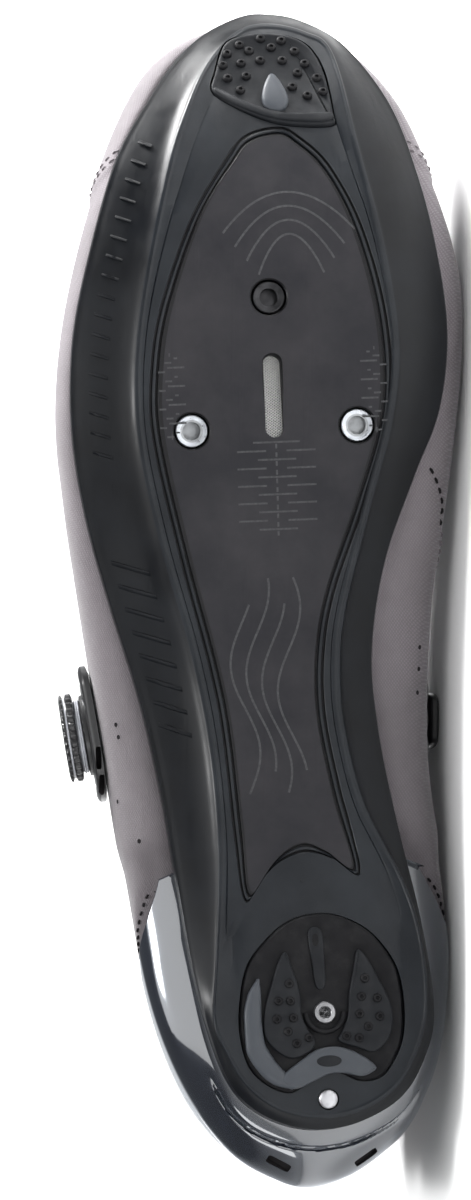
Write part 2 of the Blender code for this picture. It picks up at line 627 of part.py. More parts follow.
def cut_sole(sole):
    """Pockets for the nuts, the treads, the rivet and the vent."""
    pocket = NUT_DIAMETER / 2 + NUT_CLEARANCE
    depth = NUT_RECESS + NUT_HEIGHT + SEAT_GAP
    for name, x, y in NUTS:
        hole = turned("pocket_" + name, ((pocket, -depth), (pocket, CUT_REACH)), NUT_SIDES, None)
        combine(sole, place(hole, sole_point(x, y), sole_normal(x)), "DIFFERENCE")
    base = float(base_height(SLOT_STATION))
    line = slot_line(SLOT_LENGTH, SLOT_WIDTH, SLOT_STATION)
    slot = prism("vent_slot", line, base - CUT_REACH, base + CUT_REACH)
    combine(sole, slot, "DIFFERENCE")
    seat = SCREEN_BORDER + SEAT_GAP
    line = slot_line(SLOT_LENGTH + 2 * seat, SLOT_WIDTH + 2 * seat, SLOT_STATION)
    shelf = prism("vent_seat", line, base + SCREEN_DEPTH - SEAT_GAP, base + CUT_REACH)
    combine(sole, shelf, "DIFFERENCE")
    heel = prism("heel_recess", HEEL_TREAD, -CUT_REACH, HEEL_FLOOR)
    combine(sole, heel, "DIFFERENCE")
    toe = prism("toe_recess", TOE_TREAD, -TOE_RECESS_DEPTH, CUT_REACH)
    combine(sole, place_toe(toe), "DIFFERENCE")
    radius = RIVET_DIAMETER / 2 + SEAT_GAP
    hole = turned("rivet_hole", ((radius, -RIVET_DEPTH), (radius, CUT_REACH)), PIN_SIDES, None)
    combine(sole, place(hole, sole_point(RIVET_STATION, HEEL_LINE), sole_normal(RIVET_STATION)), "DIFFERENCE")


def place_toe(piece):
    """Seat a piece drawn on the toe tread's own plane."""
    normal = sole_normal(TOE_TREAD_STATION)
    along = Vector((-normal.z, 0, normal.x))
    rows = Matrix((along, normal.cross(along), normal)).transposed()
    piece.matrix_world = Matrix.Translation(sole_point(TOE_TREAD_STATION, 0)) @ rows.to_4x4()
    return piece


def toe_local(points):
    """Plan points of the toe, on the toe tread's own plane."""
    lean = math.hypot(1, float(base_slope(TOE_TREAD_STATION)))
    return [((x - TOE_TREAD_STATION) * lean, -y) for x, y in points]


def studs(name, points, bottom, top, sides=6):
    """Low cones that taper to a stud's flat tip."""
    shape = bmesh.new()
    for x, y in points:
        rings = []
        for radius, z in ((0.5 * STUD_DIAMETER, bottom), (0.36 * STUD_DIAMETER, top)):
            rings.append([shape.verts.new((*xy, z)) for xy in circle(radius, sides, (x, y))])
        for i in range(sides):
            j = (i + 1) % sides
            shape.faces.new((rings[0][i], rings[0][j], rings[1][j], rings[1][i]))
        shape.faces.new(rings[0])
        shape.faces.new(rings[1])
    bmesh.ops.recalc_face_normals(shape, faces=shape.faces)
    return finished(name, shape, None)


def make_nuts():
    bright = material("nut_steel", (0.62, 0.63, 0.64), 0.25, 1.0)
    dark = material("nut_blackened", (0.03, 0.03, 0.032), 0.4, 0.6)
    outer, bore, bottom = NUT_DIAMETER / 2, NUT_BORE / 2, -NUT_RECESS - NUT_HEIGHT
    for name, x, y in NUTS:
        profile = ((bore, bottom + NUT_COUNTERSINK), (bore, -NUT_RECESS),
                   (outer, -NUT_RECESS), (outer, bottom))
        nut = turned(name, profile, NUT_SIDES, dark if name == "cleat_nut_front" else bright)
        place(nut, sole_point(x, y), sole_normal(x))


def make_vent_screen(finish):
    bottom = float(base_height(SLOT_STATION)) + SCREEN_DEPTH
    line = slot_line(SLOT_LENGTH + 2 * SCREEN_BORDER, SLOT_WIDTH + 2 * SCREEN_BORDER, SLOT_STATION)
    prism("vent_screen", line, bottom, bottom + SCREEN_THICKNESS, finish)


def make_heel_tread(finish):
    top = HEEL_FLOOR - SEAT_GAP
    bottom = HEEL_FLOOR - SEAT_GAP - HEEL_TREAD_DROP - STUD_HEIGHT
    line = inner_line(HEEL_TREAD, TREAD_CLEARANCE)
    tread = prism("heel_tread", line, bottom + STUD_HEIGHT, top, finish)
    places = np.array(HEEL_STUDS) * (SHOE_LENGTH, BALL_WIDTH)
    combine(tread, studs("heel_studs", places, bottom + 2 * STUD_HEIGHT, bottom), "UNION")
    x, y = SCREW_STATION, HEEL_LINE
    mouth = [(x + CHANNEL_LENGTH, y + side) for side in CHANNEL_MOUTH]
    bend = [(x - CHANNEL_RADIUS * math.cos(a), y + CHANNEL_RADIUS * math.sin(a))
            for a in np.linspace(RIGHT_ANGLE, -RIGHT_ANGLE, 9)]
    groove = prism("heel_channel", mouth + bend, -CUT_REACH, HEEL_FLOOR - HEEL_WEB)
    combine(tread, groove, "DIFFERENCE")
    radius = SCREW_DIAMETER / 2
    head = ((radius * 0.55, -SCREW_HEIGHT * 0.35), (radius * 0.62, 0), (radius, -0.15 * SCREW_HEIGHT),
            (radius, -SCREW_HEIGHT))
    screw = turned("heel_screw", head, PIN_SIDES, material("screw_steel", (0.55, 0.55, 0.56), 0.3, 1.0))
    seat = HEEL_FLOOR - HEEL_WEB - SEAT_GAP - SCREW_HEIGHT
    place(screw, (x, y, seat), (0, 0, -1))
    radius = RIVET_DIAMETER / 2
    pin = ((radius * 0.8, RIVET_DOME), (radius, -3 * RIVET_DOME), (radius, SEAT_GAP - RIVET_DEPTH))
    rivet = turned("heel_rivet", pin, PIN_SIDES, material("rivet_alloy", (0.6, 0.6, 0.6), 0.35, 1.0))
    place(rivet, sole_point(RIVET_STATION, HEEL_LINE), sole_normal(RIVET_STATION))


def make_toe_tread(finish):
    line = inner_line(TOE_TREAD, TREAD_CLEARANCE)
    bottom = SEAT_GAP - TOE_RECESS_DEPTH
    tread = prism("toe_tread", line, bottom, bottom + TOE_TREAD_THICKNESS, finish)
    places = toe_local(np.array(TOE_STUDS) * (SHOE_LENGTH, BALL_WIDTH))
    knobs = studs("toe_studs", places, bottom + 0.5 * TOE_TREAD_THICKNESS,
                  bottom + TOE_TREAD_THICKNESS + STUD_HEIGHT)
    combine(tread, place_toe(knobs), "UNION")
    place_toe(tread)


def make_insole(finish):
    lower = plate_rings(SEAT_GAP)
    ring_mesh("insole", lower + plate_rings(SEAT_GAP + INSOLE_THICKNESS)[::-1], finish)


def make_upper(finish):
    """Hollow shell: the last's outer face and the same face one wall further in."""
    rings = np.array([last_point(*RAYS, level) for level in LEVELS])
    normals = ring_normals(rings)
    station = rings[WIDEST_ROW, :, 0] / SHOE_LENGTH
    sink = np.clip((SINK_END_STATION - station) / (SINK_END_STATION - CUP_FRONT_STATION - 0.01), 0, 1)
    sink = (sink * sink * (3 - 2 * sink) * (CUP_WALL + CUP_GAP))[None, :, None]
    nose = at_reach(*RAYS, reach(EDGE, *RAYS))[:, 0] > TOE_CAP_STATION + 0.5 * SEAM_WIDTH
    full = np.clip(np.array(LEVELS) / WIDEST_LEVEL, 0, 1) * (np.array(LEVELS) < 1)
    step = TOE_CAP_STEP * full[:, None, None] * nose[None, :, None]
    outer = rings + normals * (step - sink)
    normals[0, :, :2], normals[0, :, 2] = RAYS[1], 0
    inner = outer - normals * UPPER_WALL
    closed = curve_value(LAST_SECTIONS, 4, station) > 0.9999
    ring_mesh("upper", [*outer, *inner[::-1]], finish, closed)


def ring_normals(rings):
    """Outward unit normals of rows of rings; where both sides meet on the ridge,
    their normals are made one."""
    around = np.roll(rings, -1, axis=1) - np.roll(rings, 1, axis=1)
    around[-1] = np.where(np.abs(around[-1]).sum(axis=1, keepdims=True) < 1e-9, around[-2], around[-1])
    up = np.gradient(rings, axis=0)
    normals = np.cross(around, up)
    normals /= np.linalg.norm(normals, axis=2)[..., None]
    outward = rings[WIDEST_ROW] - rings[WIDEST_ROW].mean(axis=0)
    normals *= np.sign((normals[WIDEST_ROW] * outward).sum())
    top = rings[-1]
    for i, point in enumerate(top):
        same = np.linalg.norm(top - point, axis=1) < 1e-6
        if same.sum() > 1:
            normals[-1, same] = normals[-1, same].sum(axis=0)
    return normals / np.linalg.norm(normals, axis=2)[..., None]


def make_heel_cup(finish):
    starts, directions = RAYS
    station = at_reach(*RAYS, reach(LAST, *RAYS))[:, 0] / SHOE_LENGTH
    covered = station < CUP_FRONT_STATION
    starts, directions, top = starts[covered], directions[covered], curve_value(CUP_TOP, 1, station[covered])
    grid = np.array([last_point(starts, directions, share * top) for share in np.linspace(0, 1, 10)])
    sheet_solid("heel_cup", grid, -CUP_WALL, 0.0, finish)


def make_tongue(finish):
    stations = np.unique(RAYS[0][:, 0])
    stations = stations[(stations > 0.33 * SHOE_LENGTH) & (stations < 0.74 * SHOE_LENGTH)][::-1]
    edge_share = curve_value(TONGUE_EDGE, 1, stations / SHOE_LENGTH)
    grid = arch_grid(stations, edge_share, edge_share, 5)
    end = grid[:, -1]
    middle = np.array([0, SPINE[2] * BALL_WIDTH, 0])
    extra = [middle + (end - middle) * (1, 1 - 0.09 * k, 1) + TONGUE_TIP * k / 3 for k in (1, 2, 3)]
    grid = np.concatenate([grid, np.stack(extra, axis=1)], axis=1)
    inner = -(UPPER_WALL + TONGUE_GAP)
    sheet_solid("tongue", grid, inner - TONGUE_WALL, inner, finish)


def make_straps(finish):
    half = INSTEP_STRAP_WIDTH / 2
    stations = np.linspace(DIAL_STATION - half, DIAL_STATION + half, 4)
    grid = arch_grid(stations, *INSTEP_STRAP_ENDS, 9)
    sheet_solid("instep_strap", grid, SKIN_GAP, SKIN_GAP + STRAP_THICKNESS, finish)
    half = FOREFOOT_STRAP_WIDTH / 2
    stations = np.linspace(FOREFOOT_STRAP_STATION - half, FOREFOOT_STRAP_STATION + half, 4)
    grid = arch_grid(stations, *FOREFOOT_STRAP_ENDS, 7)
    sheet_solid("forefoot_strap", grid, SKIN_GAP, SKIN_GAP + STRAP_THICKNESS, finish)
    half = ANCHOR_WIDTH / 2
    stations = np.linspace(DIAL_STATION - half, DIAL_STATION + half, 4)
    shares = np.linspace(*ANCHOR_SPAN, 6)
    starts, directions = side_columns(stations, 1)
    grid = np.array([last_point(starts, directions, over_level(stations, share)) for share in shares])
    seat = SKIN_GAP + STRAP_THICKNESS + SEAT_GAP
    sheet_solid("strap_anchor", grid, seat, seat + ANCHOR_THICKNESS,
                material("anchor_plastic", (0.02, 0.02, 0.022), 0.35))


def make_dial():
    """Base on the lateral quarter, grey ring and black knob on one axis."""
    black = material("dial_plastic", (0.02, 0.02, 0.022), 0.35)
    grey = material("dial_ring_plastic", (0.32, 0.33, 0.34), 0.4)
    half = DIAL_BASE_LENGTH / 2
    stations = np.linspace(DIAL_STATION - half, DIAL_STATION + half, 7)
    starts, directions = side_columns(stations, -1)
    shares = np.linspace(*DIAL_BASE_SPAN, 7)
    grid = np.array([last_point(starts, directions, over_level(stations, share)) for share in shares])
    base = sheet_solid("dial_base", grid, SKIN_GAP, SKIN_GAP + DIAL_BASE_THICKNESS, black)
    normals = grid_normals(grid)
    centre, axis = grid[3, 3], normals[3, 3]
    foot = SKIN_GAP + DIAL_BASE_THICKNESS + DIAL_PAD_RISE
    radius = 0.46 * DIAL_DIAMETER
    pad = turned("dial_pad", ((radius, -DIAL_PAD_RISE - 0.3 * MM), (radius, 0)), DIAL_SIDES, None)
    combine(base, place(pad, centre + axis * foot, axis), "UNION")
    start = foot + SEAT_GAP
    radius = 0.42 * DIAL_DIAMETER
    ring = turned("dial_ring", ((radius, 0), (radius, DIAL_RING_HEIGHT)), DIAL_SIDES, grey)
    place(ring, centre + axis * start, axis)
    start += DIAL_RING_HEIGHT + SEAT_GAP
    radius = DIAL_DIAMETER / 2
    profile = ((0.94 * radius, 0), (radius, 0.1 * DIAL_HEIGHT), (radius, 0.7 * DIAL_HEIGHT),
               (0.88 * radius, DIAL_HEIGHT))
    knob = turned("dial_knob", profile, DIAL_SIDES, black)
    place(knob, centre + axis * start, axis)


def world_mesh(piece, graph):
    """Evaluated points of a piece, and its volume times its centre."""
    mesh = piece.evaluated_get(graph).to_mesh()
    mesh.calc_loop_triangles()
    points = np.array([piece.matrix_world @ vertex.co for vertex in mesh.vertices])
    corners = np.array([points[list(triangle.vertices)] for triangle in mesh.loop_triangles])
    first, second, third = corners[:, 0], corners[:, 1], corners[:, 2]
    volumes = (first * np.cross(second, third)).sum(axis=1) / 6
    return points, volumes.sum(), (volumes[:, None] * corners.sum(axis=1) / 4).sum(axis=0)


def stands_over(face, centre):
    """Whether a point lies straight behind a face of the hull."""
    corners = [vertex.co for vertex in face.verts]
    foot = centre - face.normal * (centre - corners[0]).dot(face.normal)
    turns = zip(corners, corners[1:] + corners[:1])
    return all((b - a).cross(foot - a).dot(face.normal) >= 0 for a, b in turns)


def lay_on_side():
    """Turn the shoe onto the face of its convex hull, on the medial side, that its
    centre of mass stands over, and put the middle of its box's floor at the origin."""
    bpy.context.view_layer.update()
    graph = bpy.context.evaluated_depsgraph_get()
    cloud, moment, mass = [], np.zeros(3), 0.0
    for piece in [thing for thing in bpy.data.objects if not thing.hide_render]:
        points, volume, first_moment = world_mesh(piece, graph)
        density = DENSITY.get(piece.name, PLASTIC_DENSITY)
        cloud.append(points)
        mass += density * volume
        moment += density * first_moment
    cloud, centre = np.concatenate(cloud), Vector(moment / mass)
    hull = bmesh.new()
    for point in cloud:
        hull.verts.new(point)
    bmesh.ops.convex_hull(hull, input=hull.verts)
    bmesh.ops.recalc_face_normals(hull, faces=hull.faces)
    carriers = [face for face in hull.faces if face.normal.y > 0.8 and stands_over(face, centre)]
    lowest = min(carriers, key=lambda face: (face.verts[0].co - centre).dot(face.normal))
    down = lowest.normal.copy()
    hull.free()
    along = (Vector((1, 0, 0)) - down * down.x).normalized()
    turn = np.array((along, along.cross(down), -down))
    turned_cloud = cloud @ turn.T
    low, high = turned_cloud.min(axis=0), turned_cloud.max(axis=0)
    rest = bpy.data.objects.new("resting_pose", None)
    bpy.context.scene.collection.objects.link(rest)
    for thing in bpy.data.objects:
        if thing is not rest:
            thing.parent = rest
    rest.matrix_world = (Matrix.Translation((-(low[0] + high[0]) / 2, -(low[1] + high[1]) / 2, -low[2]))
                         @ Matrix(turn.tolist()).to_4x4())


# Lines, places and rays that several pieces share
EDGE = outline(SOLE_EDGE, BALL_WIDTH)
RIDGE = outline(RIDGE_LINE, BALL_WIDTH)
GROOVE = outline(GROOVE_LINE, BALL_WIDTH)
LAST = outline(LAST_LINE, LAST_WIDTH)
RAYS = columns(EDGE, 20, 14, 17)
HEEL_TREAD = outline(HEEL_TREAD_LINE, BALL_WIDTH)[::4]
HEEL_FLOOR = float(base_height(SCREW_STATION)) + HEEL_RECESS_DEPTH
TOE_TREAD = toe_local(outline(TOE_TREAD_LINE, BALL_WIDTH)[::4])
SLOT_STATION = REAR_NUT_STATION + SLOT_LEAD
NUTS = (
    ("cleat_nut_front", REAR_NUT_STATION + FRONT_NUT_LEAD, 0.0),
    ("cleat_nut_rear_lateral", REAR_NUT_STATION, -REAR_NUT_SPACING / 2),
    ("cleat_nut_rear_medial", REAR_NUT_STATION, REAR_NUT_SPACING / 2),
)
INSOLE_INSET = UPPER_INSET + CUP_WALL + UPPER_WALL + 3 * SEAT_GAP

clear_scene()
sole = make_outsole(material("outsole_composite", (0.035, 0.037, 0.042), 0.4))
cut_sole(sole)
make_nuts()
make_vent_screen(material("vent_mesh", (0.45, 0.45, 0.45), 0.6))
rubber = material("tread_rubber", (0.03, 0.03, 0.033), 0.7)
make_heel_tread(rubber)
make_toe_tread(rubber)
make_insole(material("insole_foam", (0.05, 0.05, 0.055), 0.9))
make_upper(material("upper_microfibre", (0.30, 0.25, 0.25), 0.75))
make_heel_cup(material("heel_cup_gloss", (0.012, 0.012, 0.014), 0.12))
make_tongue(material("tongue_fabric", (0.05, 0.05, 0.055), 0.85))
make_straps(material("strap_microfibre", (0.035, 0.035, 0.038), 0.7))
make_dial()
lay_on_side()
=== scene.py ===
"""Looks of a right road cycling shoe that lies on its medial side.

The pieces are drawn in the standing shoe's own frame, x from heel to toe, y towards the
medial side and z up, in millimetres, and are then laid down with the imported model.
"""

import math

import bmesh
import bpy
import numpy as np
from mathutils import Matrix, Vector
from mathutils.bvhtree import BVHTree


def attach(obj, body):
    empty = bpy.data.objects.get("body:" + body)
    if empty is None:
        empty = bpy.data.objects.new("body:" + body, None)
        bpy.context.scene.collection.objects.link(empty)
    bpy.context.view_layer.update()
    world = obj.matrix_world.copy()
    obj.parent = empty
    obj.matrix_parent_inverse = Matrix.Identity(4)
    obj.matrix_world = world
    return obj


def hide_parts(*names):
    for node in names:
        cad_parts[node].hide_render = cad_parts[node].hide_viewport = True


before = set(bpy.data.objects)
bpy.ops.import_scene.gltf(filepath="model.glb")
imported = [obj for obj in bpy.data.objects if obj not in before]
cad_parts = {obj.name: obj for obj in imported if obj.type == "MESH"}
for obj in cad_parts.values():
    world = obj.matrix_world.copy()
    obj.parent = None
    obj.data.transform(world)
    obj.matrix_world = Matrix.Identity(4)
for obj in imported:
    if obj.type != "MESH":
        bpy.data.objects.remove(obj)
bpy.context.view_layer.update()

# How the shoe lies
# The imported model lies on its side. Five fasteners, whose middles are known in the
# standing shoe, tell how it was turned and moved to get there.
MM = 0.001
MIDDLES = {
    "cleat_nut_front": (206.974, 0.0, 2.355), "cleat_nut_rear_lateral": (176.630, -19.4, 3.791),
    "cleat_nut_rear_medial": (176.630, 19.4, 3.791), "heel_screw": (40.313, 5.301, 5.265),
    "dial_knob": (109.275, -46.602, 45.573),
}


def node_middle(name):
    """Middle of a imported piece's corners, in the row's frame."""
    corners = np.array([corner.co[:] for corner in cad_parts[name].data.vertices])
    return np.unique(corners.round(6), axis=0).mean(axis=0)


def lay_of_shoe():
    """Move that takes the standing shoe, in millimetres, to the row's frame in metres."""
    laid = np.array([node_middle(name) for name in MIDDLES])
    standing = np.array(list(MIDDLES.values())) * MM
    left, _, right = np.linalg.svd((standing - standing.mean(axis=0)).T @ (laid - laid.mean(axis=0)))
    turn = (left @ np.diag((1, 1, np.linalg.det(left @ right))) @ right).T
    shift = Matrix.Translation(Vector(laid.mean(axis=0) - turn @ standing.mean(axis=0)))
    return shift @ Matrix(turn.tolist()).to_4x4() @ Matrix.Scale(MM, 4)


LAY = lay_of_shoe()

# Camera, floor and lights
# The camera faces the sole from 1.9 m, a little to the heel and to the lateral side, and
# is rolled so that the toe points up. Broad soft lights stand round a plain white floor.
IMAGE_HEIGHT = 1200
PIXELS_PER_MM = 4.314
CAMERA_DISTANCE = 1930.0
CAMERA_TO_LATERAL = math.radians(6.43)
CAMERA_TO_HEEL = math.radians(5.25)
IMAGE_TURN = math.radians(2.84)
IMAGE_MIDDLE = Vector((136.5, -11.4, 0.0))
FLOOR_HALF = 6.0
# Strength of the sky against the height looked at
SKY_FALL = {"From Min": 0.08, "From Max": 0.40, "To Min": 0.80, "To Max": 0.12}
# Name, place, size in metres, power in watts, target, spread in degrees
SOFT_BOXES = (
    ("key_box", (0.0, -0.55, 1.15), (1.0, 2.0), 15.0, (-0.05, 0.0, 0.05), 180.0),
    ("ceiling_box", (0.0, 0.0, 3.0), (11.5, 11.5), 257.0, (0.0, 0.0, 0.0), 20.0),
    ("toe_box", (1.0, 0.35, 0.70), (0.5, 0.5), 42.0, (0.1, 0.0, 0.05), 180.0),
    ("low_box", (1.2, -0.20, 0.12), (0.3, 0.2), 4.0, (0.1, -0.02, 0.02), 180.0),
    ("fill_box", (-0.9, -1.2, 0.32), (0.6, 0.4), 3.0, (0.0, -0.08, 0.0), 180.0),
)


def aim_camera():
    up = Vector((math.cos(IMAGE_TURN), math.sin(IMAGE_TURN), 0))
    right = Vector((-math.sin(IMAGE_TURN), math.cos(IMAGE_TURN), 0))
    look = up * math.sin(CAMERA_TO_HEEL) + right * math.sin(CAMERA_TO_LATERAL)
    look.z = math.sqrt(1 - look.length_squared)
    turn = LAY.to_3x3().normalized()
    back = turn @ -look
    side = (turn @ up).cross(back).normalized()
    data = bpy.data.cameras.new("camera")
    data.sensor_width = 36.0
    data.lens = 36.0 * PIXELS_PER_MM * CAMERA_DISTANCE / IMAGE_HEIGHT
    data.clip_start, data.clip_end = 0.05, 20.0
    camera = bpy.data.objects.new("camera", data)
    bpy.context.scene.collection.objects.link(camera)
    axes = Matrix((side, back.cross(side), back)).transposed().to_4x4()
    place = LAY @ (IMAGE_MIDDLE - look * CAMERA_DISTANCE)
    camera.matrix_world = Matrix.Translation(place) @ axes
    bpy.context.scene.camera = camera


def soft_light(name, place, size, power, target, spread):
    """Soft box that faces a target."""
    data = bpy.data.lights.new(name, "AREA")
    data.shape = "RECTANGLE"
    data.size, data.size_y = size
    data.energy = power
    data.spread = math.radians(spread)
    light = bpy.data.objects.new(name, data)
    light.location = place
    light.rotation_mode = "QUATERNION"
    light.rotation_quaternion = (Vector(target) - Vector(place)).to_track_quat("-Z", "Y")
    bpy.context.scene.collection.objects.link(light)


def make_floor():
    mesh = bpy.data.meshes.new("floor")
    corners = [(x * FLOOR_HALF, y * FLOOR_HALF, 0) for x, y in ((-1, -1), (1, -1), (1, 1), (-1, 1))]
    mesh.from_pydata(corners, [], [(0, 1, 2, 3)])
    floor = bpy.data.objects.new("floor", mesh)
    bpy.context.scene.collection.objects.link(floor)
    paper = bpy.data.materials.new("floor_paper")
    paper.use_nodes = True
    shader = paper.node_tree.nodes["Principled BSDF"]
    shader.inputs["Base Color"].default_value = (0.93, 0.93, 0.93, 1)
    shader.inputs["Roughness"].default_value = 0.9
    shader.inputs["Specular IOR Level"].default_value = 0.1
    grain = paper.node_tree.nodes.new("ShaderNodeTexNoise")
    grain.inputs["Scale"].default_value = 400.0
    bump = paper.node_tree.nodes.new("ShaderNodeBump")
    bump.inputs["Strength"].default_value = 0.02
    paper.node_tree.links.new(grain.outputs["Fac"], bump.inputs["Height"])
    paper.node_tree.links.new(bump.outputs["Normal"], shader.inputs["Normal"])
    mesh.materials.append(paper)


def light_studio():
    """A sky that is palest at the horizon, and the soft boxes."""
    world = bpy.data.worlds.new("studio")
    bpy.context.scene.world = world
    world.use_nodes = True
    nodes, links = world.node_tree.nodes, world.node_tree.links
    backdrop = nodes["Background"]
    backdrop.inputs["Color"].default_value = (0.96, 0.98, 1.0, 1)
    way = nodes.new("ShaderNodeSeparateXYZ")
    links.new(nodes.new("ShaderNodeTexCoord").outputs["Generated"], way.inputs[0])
    fall = nodes.new("ShaderNodeMapRange")
    for key, value in SKY_FALL.items():
        fall.inputs[key].default_value = value
    links.new(way.outputs["Z"], fall.inputs["Value"])
    links.new(fall.outputs["Result"], backdrop.inputs["Strength"])
    bpy.context.scene.view_settings.view_transform = "Standard"
    for box in SOFT_BOXES:
        soft_light(*box)


aim_camera()
make_floor()
light_studio()

# Outsole
# The outsole is one stiff plate of moulded carbon composite, satin in its middle panel
# and near black on the side bands. A narrow channel frames the panel; its walls and those
# of the cut pockets carry painted shade.
SHOE_LENGTH = 278.6
BALL_WIDTH = 89.1
TOE_SPRING = 32.0
ARCH_RISE = 11.5
SIDE_HEIGHT = 9.6
PLATE_THICKNESS = 4.5
SIDE_WALL_HEIGHT = 4.5
RIM_WIDTH = 3.2
SEAT_GAP = 0.3
UPPER_INSET = 1.0
SPINE_BACK, SPINE_FRONT, SPINE_SIDE = 0.310 * SHOE_LENGTH, 0.843 * SHOE_LENGTH, 0.022 * BALL_WIDTH
# Outlines seen from below: share of the length, share of the ball's width
SOLE_EDGE = (
    (0.048, 0.045), (0.053, -0.051), (0.068, -0.138), (0.092, -0.198), (0.135, -0.242),
    (0.186, -0.276), (0.263, -0.303), (0.340, -0.330), (0.417, -0.373), (0.493, -0.438),
    (0.568, -0.496), (0.643, -0.525), (0.718, -0.511), (0.794, -0.451), (0.871, -0.365),
    (0.924, -0.263), (0.958, -0.185), (0.983, -0.097), (0.998, 0.002), (1.000, 0.072),
    (0.993, 0.163), (0.968, 0.272), (0.914, 0.371), (0.854, 0.422), (0.788, 0.457),
    (0.711, 0.475), (0.645, 0.444), (0.592, 0.374), (0.523, 0.290), (0.449, 0.247),
    (0.382, 0.254), (0.304, 0.288), (0.215, 0.333), (0.142, 0.351), (0.101, 0.316),
    (0.071, 0.250), (0.053, 0.143),
)
RIDGE_LINE = (
    (0.057, 0.045), (0.065, -0.067), (0.086, -0.153), (0.115, -0.204), (0.141, -0.232),
    (0.193, -0.218), (0.285, -0.194), (0.370, -0.201), (0.455, -0.242), (0.555, -0.321),
    (0.645, -0.364), (0.736, -0.341), (0.851, -0.249), (0.913, -0.174), (0.955, -0.101),
    (0.983, -0.011), (0.989, 0.073), (0.980, 0.168), (0.959, 0.231), (0.871, 0.268),
    (0.780, 0.314), (0.700, 0.337), (0.636, 0.312), (0.570, 0.251), (0.481, 0.172),
    (0.432, 0.153), (0.382, 0.158), (0.318, 0.198), (0.253, 0.285), (0.201, 0.324),
    (0.144, 0.328), (0.106, 0.294), (0.079, 0.236), (0.062, 0.146),
)
CHANNEL_LINE = (
    (0.243, -0.125), (0.293, -0.138), (0.378, -0.153), (0.437, -0.180), (0.536, -0.253),
    (0.627, -0.310), (0.682, -0.310), (0.739, -0.274), (0.812, -0.182), (0.862, -0.079),
    (0.882, -0.022), (0.888, 0.062), (0.879, 0.109), (0.854, 0.177), (0.804, 0.244),
    (0.734, 0.293), (0.672, 0.304), (0.626, 0.282), (0.566, 0.218), (0.498, 0.137),
    (0.449, 0.104), (0.395, 0.099), (0.331, 0.128), (0.263, 0.168), (0.276, 0.099),
    (0.283, 0.039), (0.278, -0.017), (0.265, -0.066),
)
HEEL_TREAD_LINE = (
    (0.228, 0.065), (0.221, 0.143), (0.206, 0.205), (0.181, 0.254), (0.151, 0.269),
    (0.122, 0.263), (0.102, 0.236), (0.089, 0.201), (0.086, 0.148), (0.093, 0.097),
    (0.096, 0.063), (0.091, 0.026), (0.082, -0.015), (0.079, -0.048), (0.086, -0.100),
    (0.101, -0.145), (0.124, -0.165), (0.149, -0.166), (0.182, -0.145), (0.202, -0.103),
    (0.222, -0.027),
)
TOE_TREAD_LINE = (
    (0.942, -0.094), (0.970, -0.058), (0.979, -0.007), (0.981, 0.062), (0.977, 0.126),
    (0.966, 0.174), (0.942, 0.204), (0.903, 0.214), (0.892, 0.207), (0.892, 0.116),
    (0.897, 0.039), (0.908, -0.035), (0.921, -0.095), (0.930, -0.107),
)
# Station, lift by the toe spring, lift by the arch, height of the side's feather line
SOLE_HEIGHTS = (
    (0.047, 0.00, 0.66, 0.55), (0.090, 0.00, 0.52, 0.68), (0.144, 0.00, 0.46, 0.76),
    (0.215, 0.00, 0.57, 0.83), (0.287, 0.00, 0.83, 0.89), (0.359, 0.00, 0.98, 0.95),
    (0.413, 0.00, 1.00, 0.95), (0.485, 0.00, 0.82, 0.95), (0.556, 0.00, 0.50, 0.96),
    (0.628, 0.00, 0.19, 1.00), (0.700, 0.01, 0.02, 1.01), (0.754, 0.02, 0.00, 1.04),
    (0.808, 0.08, 0.00, 1.08), (0.861, 0.22, 0.00, 1.04), (0.915, 0.44, 0.00, 0.99),
    (0.962, 0.70, 0.00, 0.89), (1.000, 0.96, 0.00, 0.70),
)
# Side band from the ridge to the edge: rise of a round and of a hollow profile
BAND_PROFILE = (
    (0.00, 0.00, 0.00), (0.10, 0.03, 0.32), (0.26, 0.10, 0.58), (0.45, 0.24, 0.72),
    (0.65, 0.47, 0.82), (0.84, 0.76, 0.92), (0.96, 0.96, 1.00), (1.00, 1.00, 1.00),
)
# Station, share of the hollow profile on the lateral and on the medial side
HOLLOW_SHARE = (
    (0.05, 0.0, 0.0), (0.14, 0.2, 0.2), (0.25, 0.9, 0.8), (0.50, 1.0, 0.7),
    (0.62, 0.7, 0.1), (0.80, 0.6, 0.0), (0.93, 0.4, 0.0), (1.00, 0.0, 0.0),
)
NUT_PLACES = (
    ("cleat_nut_front", 207.0, 0.0), ("cleat_nut_rear_lateral", 176.4, -19.4),
    ("cleat_nut_rear_medial", 176.4, 19.4),
)
NUT_POCKET = 4.2
VENT_PLACE, VENT_LENGTH, VENT_WIDTH = 183.9, 19.3, 4.2
HEEL_FLOOR = 8.3
TOE_TREAD_STATION = 261.0
TOE_RECESS_DEPTH = 2.4
RIVET_PLACE, HEEL_LINE = 20.2, 5.3
TREAD_FINENESS, LIP_WIDTH, CHANNEL_HALF = 8, 1.6, 1.15
CHANNEL_PROFILE = (
    (CHANNEL_HALF, 0.0), (1.0, 0.12), (0.82, 0.8), (0.5, 0.85), (0.34, 0.3), (0.0, 0.16),
    (-0.34, 0.3), (-0.5, 0.85), (-0.82, 0.8), (-1.0, 0.12), (-CHANNEL_HALF, 0.0),
)


